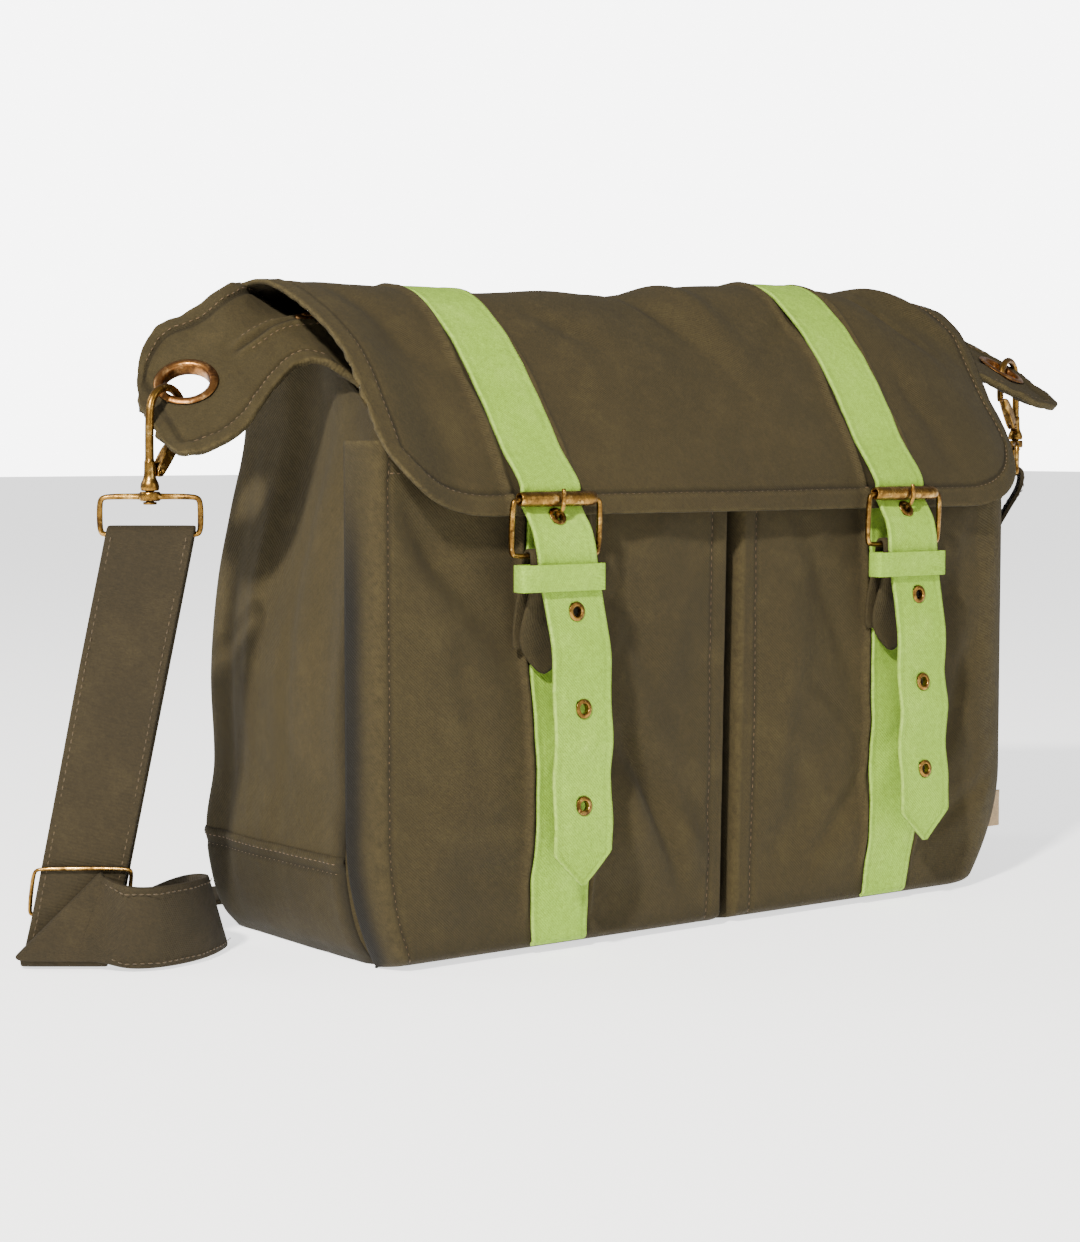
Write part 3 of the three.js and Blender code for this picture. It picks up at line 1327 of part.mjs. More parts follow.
acrossBar(-overBail + 18, -38);

// Faces of the strap come from its run and its width, kept on one side all the way
const strapMiddles = route.map(([near, far]) => near.clone().add(far).multiplyScalar(0.5));
const webbing = route.map(([near, far], k) => {
  const slope = strapMiddles[Math.min(k + 1, route.length - 1)].clone().sub(strapMiddles[Math.max(k - 1, 0)]);
  return { near, far, face: far.clone().sub(near).cross(slope).normalize() };
});
addPiece('shoulder_strap', ribbonSolid(webbing, webbingWall), canvas);

// Slider of the shoulder strap: a wire ring with one bar before the strap and one behind it
const sliderTop = sliderRise + sliderHigh;
const sliderFront = webbingWall / 2 + 0.35 + sliderWire / 2;
const sliderRing = wireSolid(
  roundedLoop(webbingWide + 2 * sliderWire + 1.2, sliderHigh, 3, 2),
  sliderWire,
  6,
  true,
);
const sliderPlace = sliderRing.getAttribute('position');
for (let k = 0; k < sliderPlace.count; k += 1) {
  const height = sliderRise + sliderHigh / 2 + sliderPlace.getZ(k);
  const share = (height - sliderRise) / sliderHigh;
  const out = lowerBarOut + (sliderFront - lowerBarOut) * smoothStep(share) - sliderPlace.getY(k);
  const point = hangPoint(out, height, sliderPlace.getX(k));
  sliderPlace.setXYZ(k, point.x, point.y, point.z);
}
addPiece('strap_slider', cleanSolid(sliderRing), brass);

// Small cloth label caught in the right front seam
const labelLift = 23;
const labelCore = new THREE.BoxGeometry(labelDeep, labelWall, labelHigh);
addPiece('side_label', cleanSolid(labelCore), labelCloth).position.set(
  waistAt(labelLift + labelHigh) - 0.3 + labelDeep / 2,
  -halfDepth + cornerRadius * 1.2,
  labelLift + labelHigh / 2,
);

export default haversack;
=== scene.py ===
"""Looks of the canvas haversack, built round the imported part.

Lengths are in millimetres until a mesh is made.
"""
import math

import bmesh
import bpy
import numpy as np
from mathutils import Matrix, Vector, noise


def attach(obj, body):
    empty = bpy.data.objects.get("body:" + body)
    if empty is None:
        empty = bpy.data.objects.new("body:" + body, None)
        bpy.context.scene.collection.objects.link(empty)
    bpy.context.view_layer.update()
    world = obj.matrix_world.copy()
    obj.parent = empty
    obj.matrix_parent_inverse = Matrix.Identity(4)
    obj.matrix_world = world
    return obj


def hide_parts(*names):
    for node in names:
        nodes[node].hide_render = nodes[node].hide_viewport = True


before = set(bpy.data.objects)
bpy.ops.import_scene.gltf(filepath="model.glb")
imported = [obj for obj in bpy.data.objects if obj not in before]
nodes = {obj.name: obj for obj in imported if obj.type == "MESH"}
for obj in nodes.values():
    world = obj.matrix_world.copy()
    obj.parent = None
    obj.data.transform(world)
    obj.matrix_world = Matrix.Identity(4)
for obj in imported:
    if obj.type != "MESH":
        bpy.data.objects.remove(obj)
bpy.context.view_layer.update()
MM = 0.001

# Sizes shared with the part
half_width = 207
half_depth = 65
front_height = 242
back_height = 295
corner_radius = 12
band_height = 50
cloth_wall = 2.2
pocket_height = 233
pocket_depth = 20
pocket_stand = 0.6
pocket_lean = 0.66
flap_left = 208
flap_right = 213
flap_back = 188
flap_crest = 308
flap_edge = 200
flap_corner_wide = 60
flap_corner_high = 44
strap_wide = 32
strap_wall = 1.8
tail_place = {"left": -107.5, "right": 104.5}
strap_lead = {"left": -12, "right": -6}
flap_place = {"left": -119.5, "right": 98.5}
tail_swing = {"left": 0, "right": 6}
tail_tip = 33
tail_point = 15
mouth_fall = 40
ear_root = 187
ear_length = {"left": 99, "right": 107}
ear_half = 40
facing = {"left": -1, "right": 1}
sheet_start = -ear_root - ear_length["left"]
sheet_long = 2 * ear_root + sum(ear_length.values())
layer_gap = 0.5
roller_radius = 3.7
roller_z = 207.3
bar_z = 182.0
fold_radius = 2.7
chape_half = 0.9
grommet_hole = 12.2
eyelet_hole = 3.3
eyelet_top = 199
zip_reach = 186
zip_half = 4

# How stitches lie: step, length and thickness
lime_stitches = (2.6, 1.9, 0.5)
webbing_step = 3.4
webbing_stitch = (1.25, 0.32, 0.3)


def smooth(value):
    t = min(max(value, 0.0), 1.0)
    return t * t * (3 - 2 * t)


def read(rows, place, column=1):
    """One column of a table, read smoothly between its rows."""
    last = len(rows) - 1
    if place <= rows[0][0]:
        return rows[0][column]
    if place >= rows[last][0]:
        return rows[last][column]
    k = 0
    while rows[k + 1][0] < place:
        k += 1

    def slope(a, b):
        return (rows[b][column] - rows[a][column]) / (rows[b][0] - rows[a][0])

    span = rows[k + 1][0] - rows[k][0]
    t = (place - rows[k][0]) / span
    start = span * slope(max(k - 1, 0), k + 1)
    end = span * slope(k, min(k + 2, last))
    rise = t * t * (3 - 2 * t)
    mix = rows[k][column] * (1 - rise) + rows[k + 1][column] * rise
    return mix + start * t * (1 - t) ** 2 - end * t * t * (1 - t)


def creases(folds, across, along):
    """Soft folds: across, along, turn, run, width, depth."""
    depth = 0.0
    for place, level, turn, run, width, high in folds:
        a = math.radians(turn)
        dx = across - place
        dz = along - level
        r = dx * math.cos(a) + dz * math.sin(a)
        o = -dx * math.sin(a) + dz * math.cos(a)
        depth += high * math.exp(-((o / width) ** 2) - (r / run) ** 2)
    return depth


def ripple(x, y, z, size, seed=0.0):
    """Smooth noise from -1 to 1 over about one size."""
    return noise.noise(Vector((x / size + seed, y / size - seed, z / size + 2 * seed)))


class Line:
    """A smooth line through points, read by its share of the length."""

    def __init__(self, points, steps=40):
        pts = [np.array(p, dtype=float) for p in points]
        last = len(pts) - 1
        out = []
        for k in range(last):
            p0 = pts[max(k - 1, 0)]
            p1 = pts[k]
            p2 = pts[k + 1]
            p3 = pts[min(k + 2, last)]
            for s in range(steps):
                t = s / steps
                v0 = (p2 - p0) / 2
                v1 = (p3 - p1) / 2
                bend = (2 * p1 - 2 * p2 + v0 + v1) * t ** 3
                out.append(bend + (3 * p2 - 3 * p1 - 2 * v0 - v1) * t * t + v0 * t + p1)
        out.append(pts[last])
        self.points = np.array(out)
        gaps = np.linalg.norm(np.diff(self.points, axis=0), axis=1)
        self.run = np.concatenate([[0], np.cumsum(gaps)])
        self.length = self.run[-1]

    def at(self, share):
        place = min(max(share, 0), 1) * self.length
        return np.array([np.interp(place, self.run, self.points[:, c]) for c in range(self.points.shape[1])])

    def along(self, share):
        a = self.at(max(share - 0.004, 0))
        b = self.at(min(share + 0.004, 1))
        return (b - a) / np.linalg.norm(b - a)


# Materials
def srgb(r, g, b):
    parts = []
    for c in (r / 255, g / 255, b / 255):
        parts.append(c / 12.92 if c < 0.04045 else ((c + 0.055) / 1.055) ** 2.4)
    return (*parts, 1.0)


def node_group(name, wanted, given):
    """A shader node group with named sockets: wanted goes in, given comes out."""
    group = bpy.data.node_groups.new(name, "ShaderNodeTree")
    for label, kind, value in wanted:
        item = group.interface.new_socket(label, in_out="INPUT", socket_type=kind)
        if value is not None:
            item.default_value = value
    for label, kind in given:
        group.interface.new_socket(label, in_out="OUTPUT", socket_type=kind)
    return group, group.nodes.new("NodeGroupInput"), group.nodes.new("NodeGroupOutput")


def link(tree, source, target):
    tree.links.new(source, target)


def noise_node(tree, place, scale, detail=3.0, rough=0.6):
    texture = tree.nodes.new("ShaderNodeTexNoise")
    texture.inputs["Scale"].default_value = scale
    texture.inputs["Detail"].default_value = detail
    texture.inputs["Roughness"].default_value = rough
    link(tree, place, texture.inputs["Vector"])
    return texture.outputs["Fac"]


def spread(tree, source, low, high, to_low=0.0, to_high=1.0):
    """Maps low to high onto to_low to to_high and stops there."""
    reach = tree.nodes.new("ShaderNodeMapRange")
    reach.clamp = True
    for label, value in (("From Min", low), ("From Max", high), ("To Min", to_low), ("To Max", to_high)):
        reach.inputs[label].default_value = value
    link(tree, source, reach.inputs["Value"])
    return reach.outputs["Result"]


def blend_colours(tree, factor, first, second, blend="MIX"):
    mix = tree.nodes.new("ShaderNodeMix")
    mix.data_type = "RGBA"
    mix.blend_type = blend
    for item, place in ((factor, 0), (first, 6), (second, 7)):
        if isinstance(item, bpy.types.NodeSocket):
            link(tree, item, mix.inputs[place])
        else:
            mix.inputs[place].default_value = item
    return mix.outputs[2]


def calculate(tree, how, first, second):
    step = tree.nodes.new("ShaderNodeMath")
    step.operation = how
    for item, place in ((first, 0), (second, 1)):
        if isinstance(item, bpy.types.NodeSocket):
            link(tree, item, step.inputs[place])
        else:
            step.inputs[place].default_value = item
    return step.outputs[0]


def washed_cloth_group():
    """Garment-washed cotton: uneven dye, darker and paler threads, a fine twill and rubbed edges, darkened
    by painted shade from its shade input.
    """
    wanted = (
        ("Place", "NodeSocketVector", None),
        ("Weave", "NodeSocketVector", None),
        ("Deep", "NodeSocketColor", None),
        ("Dyed", "NodeSocketColor", None),
        ("Faded", "NodeSocketColor", None),
        ("Rub", "NodeSocketFloat", 0.0),
        ("Painted Shade", "NodeSocketFloat", 0.0),
    )
    given = (
        ("Colour", "NodeSocketColor"),
        ("Height", "NodeSocketFloat"),
        ("Fine Height", "NodeSocketFloat"),
    )
    group, inside, outside = node_group("washed cloth", wanted, given)
    place = inside.outputs["Place"]
    patch = spread(group, noise_node(group, place, 9, 3, 0.55), 0.25, 0.75)
    base = blend_colours(group, patch, inside.outputs["Deep"], inside.outputs["Dyed"])
    streak = spread(group, noise_node(group, place, 48, 4, 0.7), 0.5, 0.85, 0.0, 0.3)
    base = blend_colours(group, streak, base, inside.outputs["Faded"])
    speck = spread(group, noise_node(group, place, 1300, 2, 0.75), 0.3, 0.7, 0.78, 1.2)
    slub = spread(group, noise_node(group, place, 420, 2, 0.6), 0.3, 0.7, 0.9, 1.1)
    grain = calculate(group, "MULTIPLY", speck, slub)
    base = blend_colours(group, 1.0, base, grain, "MULTIPLY")
    broken = spread(group, noise_node(group, place, 330, 3, 0.7), 0.35, 0.62)
    worn = calculate(group, "MULTIPLY", inside.outputs["Rub"], broken)
    base = blend_colours(group, worn, base, inside.outputs["Faded"])
    # Painted shade: the colour is darkened where the mesh marks grooves, creases, parts under others and the
    # foot.
    painted_shade = calculate(group, "SUBTRACT", 1.0, inside.outputs["Painted Shade"])
    base = blend_colours(group, 1.0, base, painted_shade, "MULTIPLY")
    link(group, base, outside.inputs["Colour"])
    warp = group.nodes.new("ShaderNodeTexWave")
    warp.bands_direction = "DIAGONAL"
    warp.inputs["Scale"].default_value = 0.42
    warp.inputs["Distortion"].default_value = 1.2
    link(group, inside.outputs["Weave"], warp.inputs["Vector"])
    threads = noise_node(group, place, 1500, 2, 0.7)
    twill = calculate(group, "ADD", warp.outputs["Fac"], threads)
    link(group, twill, outside.inputs["Fine Height"])
    small = noise_node(group, place, 95, 3, 0.55)
    large = noise_node(group, place, 38, 2, 0.5)
    pucker = calculate(group, "ADD", small, large)
    link(group, pucker, outside.inputs["Height"])
    return group


def patina_group():
    """Antique plating: dark hollows, a warm middle and bright rubbed spots."""
    wanted = (
        ("Place", "NodeSocketVector", None),
        ("Dark", "NodeSocketColor", None),
        ("Warm", "NodeSocketColor", None),
        ("Bright", "NodeSocketColor", None),
        ("Smooth", "NodeSocketFloat", 0.3),
        ("Matt", "NodeSocketFloat", 0.5),
    )
    given = (
        ("Colour", "NodeSocketColor"),
        ("Roughness", "NodeSocketFloat"),
        ("Height", "NodeSocketFloat"),
    )
    group, inside, outside = node_group("antique patina", wanted, given)
    place = inside.outputs["Place"]
    age = spread(group, noise_node(group, place, 170, 5, 0.7), 0.36, 0.6)
    base = blend_colours(group, age, inside.outputs["Dark"], inside.outputs["Warm"])
    rubbed = spread(group, noise_node(group, place, 260, 3, 0.6), 0.55, 0.75)
    base = blend_colours(group, rubbed, base, inside.outputs["Bright"])
    link(group, base, outside.inputs["Colour"])
    gap = calculate(group, "SUBTRACT", inside.outputs["Matt"], inside.outputs["Smooth"])
    matt = calculate(group, "MULTIPLY", gap, calculate(group, "SUBTRACT", 1.0, age))
    link(group, calculate(group, "ADD", inside.outputs["Smooth"], matt), outside.inputs["Roughness"])
    link(group, noise_node(group, place, 900, 3, 0.6), outside.inputs["Height"])
    return group


washed_cloth = washed_cloth_group()
patina = patina_group()


def new_material(name):
    material = bpy.data.materials.new(name)
    material.use_nodes = True
    tree = material.node_tree
    place = tree.nodes.new("ShaderNodeTexCoord").outputs["Object"]
    return material, tree, tree.nodes["Principled BSDF"], place


def read_attribute(tree, name, output):
    source = tree.nodes.new("ShaderNodeAttribute")
    source.attribute_name = name
    return source.outputs[output]


def cloth_material(name, deep, dyed, faded, rough, sheen=0.08, relief=1.0):
    material, tree, shader, place = new_material(name)
    cloth = tree.nodes.new("ShaderNodeGroup")
    cloth.node_tree = washed_cloth
    link(tree, place, cloth.inputs["Place"])
    link(tree, read_attribute(tree, "weave", "Vector"), cloth.inputs["Weave"])
    link(tree, read_attribute(tree, "wear", "Fac"), cloth.inputs["Rub"])
    # painted shade from the mesh darkens the cloth colour
    link(tree, read_attribute(tree, "painted_shade", "Fac"), cloth.inputs["Painted Shade"])
    for label, colour in (("Deep", deep), ("Dyed", dyed), ("Faded", faded)):
        cloth.inputs[label].default_value = colour
    link(tree, cloth.outputs["Colour"], shader.inputs["Base Color"])
    shader.inputs["Roughness"].default_value = rough
    shader.inputs["Sheen Weight"].default_value = sheen
    shader.inputs["Sheen Roughness"].default_value = 0.6
    shader.inputs["Specular IOR Level"].default_value = 0.25
    soft = tree.nodes.new("ShaderNodeBump")
    soft.inputs["Strength"].default_value = 0.55 * relief
    soft.inputs["Distance"].default_value = 0.0016
    link(tree, cloth.outputs["Height"], soft.inputs["Height"])
    fine = tree.nodes.new("ShaderNodeBump")
    fine.inputs["Strength"].default_value = 0.4
    fine.inputs["Distance"].default_value = 0.00035
    link(tree, cloth.outputs["Fine Height"], fine.inputs["Height"])
    link(tree, soft.outputs["Normal"], fine.inputs["Normal"])
    link(tree, fine.outputs["Normal"], shader.inputs["Normal"])
    return material


def metal_material(name, dark, warm, bright, smooth_rough, matt_rough):
    material, tree, shader, place = new_material(name)
    plating = tree.nodes.new("ShaderNodeGroup")
    plating.node_tree = patina
    link(tree, place, plating.inputs["Place"])
    for label, value in (("Dark", dark), ("Warm", warm), ("Bright", bright)):
        plating.inputs[label].default_value = value
    plating.inputs["Smooth"].default_value = smooth_rough
    plating.inputs["Matt"].default_value = matt_rough
    link(tree, plating.outputs["Colour"], shader.inputs["Base Color"])
    link(tree, plating.outputs["Roughness"], shader.inputs["Roughness"])
    shader.inputs["Metallic"].default_value = 1.0
    bump = tree.nodes.new("ShaderNodeBump")
    bump.inputs["Strength"].default_value = 0.25
    bump.inputs["Distance"].default_value = 0.0003
    link(tree, plating.outputs["Height"], bump.inputs["Height"])
    link(tree, bump.outputs["Normal"], shader.inputs["Normal"])
    return material


canvas_dyes = (srgb(42, 35, 17), srgb(51, 43, 21), srgb(74, 64, 36))
canvas = cloth_material("olive canvas", *canvas_dyes, 0.92, 0.0)
lime_dyes = (srgb(116, 150, 42), srgb(128, 162, 54), srgb(156, 186, 84))
lime = cloth_material("lime twill", *lime_dyes, 0.88, 0.0)
tape_dyes = (srgb(26, 17, 19), srgb(34, 23, 25), srgb(60, 44, 44))
tape = cloth_material("zip tape", *tape_dyes, 0.85)
tab_dyes = (srgb(150, 128, 96), srgb(168, 144, 110), srgb(190, 168, 134))
tab = cloth_material("bare tab", *tab_dyes, 0.8)
thread_dyes = (srgb(74, 56, 34), srgb(92, 72, 46), srgb(120, 98, 66))
thread = cloth_material("olive thread", *thread_dyes, 0.7, relief=0.3)
# Painted shade: the shoulder strap's thread is a darker copy of the olive thread, darkened like the strap it
# is sewn on.
strap_thread_shaded_tones = (srgb(58, 46, 26), srgb(70, 56, 34), srgb(90, 74, 48))
shaded_strap_thread = cloth_material("strap thread", *strap_thread_shaded_tones, 0.7, relief=0.3)
# Painted shade: the shoulder strap uses a darker copy of the olive canvas, darkened for the shade it lies
# in.
webbing_shaded_tones = (srgb(33, 27, 14), srgb(41, 34, 18), srgb(64, 54, 32))
shaded_webbing = cloth_material("strap canvas", *webbing_shaded_tones, 0.92, 0.0)
lime_thread_dyes = (srgb(104, 140, 50), srgb(128, 162, 66), srgb(160, 190, 96))
lime_thread = cloth_material("lime thread", *lime_thread_dyes, 0.7, relief=0.3)
brass_tones = (srgb(58, 38, 16), srgb(142, 106, 48), srgb(196, 160, 92))
brass = metal_material("antique brass", *brass_tones, 0.24, 0.5)
copper_tones = (srgb(62, 38, 20), srgb(146, 100, 54), srgb(190, 146, 94))
copper = metal_material("aged copper", *copper_tones, 0.3, 0.5)


# Meshes
def place_by(obj, body="bag"):
    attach(obj, body)
    return obj


def finish_mesh(name, bm, material):
    mesh = bpy.data.meshes.new(name)
    bm.to_mesh(mesh)
    bm.free()
    mesh.materials.append(material)
    mesh.polygons.foreach_set("use_smooth", [True] * len(mesh.polygons))
    if "weave" not in mesh.attributes:
        layer = mesh.attributes.new("weave", "FLOAT_VECTOR", "POINT")
        flat = [c * 1000 for v in mesh.vertices for c in (v.co.x + v.co.y, v.co.z, 0)]
        layer.data.foreach_set("vector", flat)
    obj = bpy.data.objects.new(name, mesh)
    bpy.context.collection.objects.link(obj)
    return obj


def cloth_grid(name, mapping, wide, high, wall, material, holes=(), slot=None):
    """A grid laid out by mapping(u, v) -> (point, wear, painted shade), given a wall on its inner side."""
    bm = bmesh.new()
    bmesh.ops.create_grid(bm, x_segments=wide, y_segments=high, size=0.5)
    wear = bm.verts.layers.float.new("wear")
    painted_shade = bm.verts.layers.float.new("painted_shade")
    weave = bm.verts.layers.float_vector.new("weave")
    middle = [Vector(mapping(*uv)[0]) for uv in ((0.4, 0.5), (0.6, 0.5), (0.5, 0.4), (0.5, 0.6))]
    cloth_wide = (middle[1] - middle[0]).length * 5
    cloth_high = (middle[3] - middle[2]).length * 5
    gone = []
    for vert in bm.verts:
        u = vert.co.x + 0.5
        v = vert.co.y + 0.5
        point, worn, dark = mapping(u, v)
        vert.co = Vector(point) * MM
        vert[wear] = min(max(worn, 0), 1)
        # painted shade: the mapping's third value, kept on the mesh to darken the cloth colour
        vert[painted_shade] = min(max(dark, 0), 0.95)
        vert[weave] = Vector((u * cloth_wide, v * cloth_high, 0))
        pierced = any((vert.co - Vector(c) * MM).length < r * MM for c, r in holes)
        if pierced or (slot and slot(u, v)):
            gone.append(vert)
    if gone:
        bmesh.ops.delete(bm, geom=gone, context="VERTS")
    obj = finish_mesh(name, bm, material)
    solid = obj.modifiers.new("wall", "SOLIDIFY")
    solid.thickness = wall * MM
    solid.offset = -1.0
    solid.use_rim = True
    return obj


def step_between(mapping, first, last):
    """The way in millimetres from one place of the cloth to another."""
    return np.array(mapping(*last)[0]) - np.array(mapping(*first)[0])


def stitch_rows(name, rows, material, pitch=3.6, long=2.5, thick=0.62, sunk=0.12):
    """Rows of stitches: each row is a mapping and a path t -> (u, v), laid at even steps."""
    bm = bmesh.new()
    for mapping, path in rows:
        count = 500
        spots = [np.array(mapping(*path(k / count))[0], dtype=float) for k in range(count + 1)]
        run = np.concatenate([[0], np.cumsum(np.linalg.norm(np.diff(spots, axis=0), axis=1))])
        for place in np.arange(pitch / 2, run[-1], pitch):
            t = np.interp(place, run, np.arange(count + 1)) / count
            t_low = min(max(t, 0.003), 0.997)
            u, v = path(t)
            here = np.array(mapping(u, v)[0])
            along = step_between(mapping, path(t_low - 0.003), path(t_low + 0.003))
            du = step_between(mapping, (max(u - 0.004, 0), v), (min(u + 0.004, 1), v))
            dv = step_between(mapping, (u, max(v - 0.004, 0)), (u, min(v + 0.004, 1)))
            up = Vector(np.cross(du, dv)).normalized()
            ahead = (Vector(along) - Vector(along).dot(up) * up).normalized()
            turn = Matrix((ahead, up.cross(ahead), up)).transposed().to_4x4()
            size = Matrix.Diagonal((long / 2, thick / 2, thick / 2, 1))
            spot = Matrix.Translation((Vector(here) - up * sunk) * MM)
            whole = spot @ turn @ Matrix.Scale(MM, 4) @ size
            bmesh.ops.create_icosphere(bm, subdivisions=1, radius=1, matrix=whole)
    return place_by(finish_mesh(name, bm, material))


def joined_copy(node):
    """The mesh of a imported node, with its doubles merged and its flat triangles joined."""
    bm = bmesh.new()
    bm.from_mesh(nodes[node].data)
    bmesh.ops.remove_doubles(bm, verts=bm.verts, dist=2e-6)
    bmesh.ops.join_triangles(bm, faces=bm.faces, angle_face_threshold=0.6, angle_shape_threshold=3.1)
    return bm


def fine_copy(node, material, levels=2, sharp=50, crease=0.0, bevel=0.0):
    """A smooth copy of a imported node, its hard edges kept or bevelled."""
    bm = joined_copy(node)
    if crease:
        layer = bm.edges.layers.float.new("crease_edge")
    shared = [e for e in bm.edges if len(e.link_faces) == 2]
    hard = [e for e in shared if e.calc_face_angle(0) > math.radians(sharp)]
    if bevel:
        shape = {"offset": bevel * MM, "segments": 2, "profile": 0.5, "affect": "EDGES", "material": -1}
        bmesh.ops.bevel(bm, geom=hard, **shape)
    elif crease:
        for e in hard:
            e[layer] = crease
    obj = finish_mesh(node + "_fine", bm, material)
    if levels:
        sub = obj.modifiers.new("smooth", "SUBSURF")
        sub.levels = levels
        sub.render_levels = levels
    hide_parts(node)
    return obj


# Body walls
# How wide the body is at each share of its height
body_waist = ((0, 0.925), (0.03, 0.962), (0.08, 0.99), (0.17, 1.007), (0.27, 0.985), (0.42, 0.99),
    (0.56, 0.972), (0.68, 0.935), (0.8, 0.895), (1.0, 0.885))


def waist(height):
    return half_width * read(body_waist, height / back_height)


def wall_path(half, share):
    """Place along a wall, and how far its rounded end falls back, at a share of its length."""
    flat = half - corner_radius
    reach = flat + corner_radius * math.pi / 4
    run = (share * 2 - 1) * reach
    if abs(run) <= flat:
        return run, 0.0
    turn = (abs(run) - flat) / corner_radius
    return math.copysign(flat + corner_radius * math.sin(turn), run), corner_radius * (1 - math.cos(turn))


side_folds = ((0.05, 0.86, 90, 0.3, 0.28, -7), (0.0, 0.34, 90, 0.2, 0.6, 2.5),
    (-0.62, 0.62, 84, 0.34, 0.16, -3),
    (0.3, 0.55, 88, 0.3, 0.1, 2.2), (-0.2, 0.5, 96, 0.28, 0.09, -2.0), (0.62, 0.4, 84, 0.3, 0.1, -2.2))


def side_wall(side, share, height):
    along, fall = wall_path(half_depth, share)
    inset = smooth((1 - abs(along) / half_depth) * 4)
    swell = creases(side_folds, along / half_depth, height / back_height) * inset
    swell += 1.1 * ripple(0, along, height * 0.5, 22, 3.1) * inset
    return (facing[side] * (waist(height) - fall + swell), along, height)


# Top sheet with its ears
mouth_front = front_height + cloth_wall + 0.3
mouth_low = mouth_front + mouth_fall / 2 - 3
mouth_half = half_depth - cloth_wall - 0.8
end_rise = 28
# Each ear: share of its length, half width to the front and to the back
ear_shape = ((-0.5, 1.6, 1.6), (-0.12, 1.5, 1.5), (0.0, 1.05, 1.2), (0.12, 0.78, 0.92),
    (0.25, 0.72, 0.78), (0.4, 0.8, 0.76), (0.61, 1.03, 0.9), (0.73, 1.07, 0.96),
    (0.83, 1.01, 0.83), (0.9, 0.92, 0.66), (0.97, 0.74, 0.36), (1.0, 0.45, 0.1))
ear_droop = {"left": math.radians(31), "right": math.radians(14)}
ear_roll = {"left": math.radians(38), "right": math.radians(30)}


def top_half(run, column):
    side = "left" if run < 0 else "right"
    part = (abs(run) - ear_root) / ear_length[side]
    return min(ear_half * read(ear_shape, part, column), mouth_half)


def top_point(run, share):
    side = "left" if run < 0 else "right"
    long = ear_length[side]
    part = max(abs(run) - ear_root, 0) / long
    droop = ear_droop[side]
    bent = part * part / 0.6 if part < 0.3 else part - 0.15
    reach = long * part * (1 - (1 - math.cos(droop)) * smooth(part / 0.3))
    curl = 1.5 * smooth((part - 0.82) / 0.18) if side == "left" else 0
    x = facing[side] * (min(abs(run), ear_root) + reach)
    rise = end_rise * smooth((abs(run) / ear_root - 0.4) / 0.6)
    z = mouth_low + rise - long * math.sin(droop) * bent - curl
    across = share * top_half(run, 1 if share < 0 else 2)
    inside = 1 - smooth(part / 0.2)
    turned = smooth((part + 0.02) / 0.3) if share < 0 else smooth((part - 0.1) / 0.35)
    back_top = mouth_front + mouth_fall + 5 * smooth(abs(run) / ear_root)
    if share < 0:
        slope = (z + 3 * inside - mouth_front) / mouth_half
    else:
        slope = (back_top - 3 * inside - z) / mouth_half
    middle = -6 * smooth((abs(run) / ear_root - 0.55) / 0.45)
    roll = ear_roll[side]
    y = middle * (1 - abs(share) * (1 - smooth(part / 0.1)))
    y += across * (1 - turned * (1 - math.cos(roll)))
    z += across * (slope * (1 - turned) + math.sin(roll) * turned) + 3 * share * share * inside
    return x, y, z


def top_side(side, along):
    """How high a side panel reaches under the top sheet."""
    run = facing[side] * waist(back_height)
    low, high = -1.0, 1.0
    for _ in range(12):
        mid = (low + high) / 2
        if top_point(run, mid)[1] < along:
            low = mid
        else:
            high = mid
    return top_point(run, low)[2] - cloth_wall - 5.8


def front_map(u, v):
    height = v * front_height
    along, fall = wall_path(waist(height), u)
    return (along, -half_depth + fall, height), 0, 0


def back_map(u, v):
    height = v * back_height
    half = waist(height)
    along, fall = wall_path(half, 1 - u)
    swell = 5 * math.cos(math.pi * along / 2 / half) * math.sin(math.pi * height / back_height)
    swell += 1.4 * ripple(along, 0, height, 60, 5.0) * smooth((half - abs(along)) / 40)
    edge = smooth(1 - (back_height - height) / 4)
    return (along, half_depth - fall + swell, height), edge * 0.4, 0


def side_map(side):
    def mapping(u, v):
        share = 1 - u if side == "left" else u
        along = wall_path(half_depth, share)[0]
        top = top_side(side, along)
        height = band_height - 1.6 + v * (top - band_height + 1.6)
        point = side_wall(side, share, height)
        # Painted shade: darker in the groove at the front edge beside the pocket, and near the top, under
        # the ear and the top sheet.
        groove = 0.85 * math.exp(-((along + 65) / 8) ** 2) * smooth((pocket_height - height) / 70)
        return point, 0, max(0.3 * smooth(1 - (top - height) / 30), groove)
    return mapping


def band_map(side):
    def mapping(u, v):
        share = 1 - u if side == "left" else u
        height = v * (band_height - 0.2)
        x, y, z = side_wall(side, share, height)
        uneven = 0.8 + 0.35 * ripple(0, y, 0, 6, 8)
        ridge = 1.5 * math.exp(-((height - band_height + 2.5) / 1.9) ** 2) * uneven
        dip = 0.5 * math.exp(-((height - band_height + 8) / 1.2) ** 2)
        # Painted shade: the whole band a little darker, more in the dip under its ridge, in the groove at
        # the front edge and towards the floor.
        groove = 0.85 * math.exp(-((y + 65) / 8) ** 2)
        dark = max(0.22 + dip * 0.6, groove, 0.22 + 0.35 * smooth(1 - height / 14))
        worn = 0.6 * min(max(ridge - 0.7, 0), 1)
        return (x + facing[side] * (ridge - dip), y, z), worn, dark
    return mapping


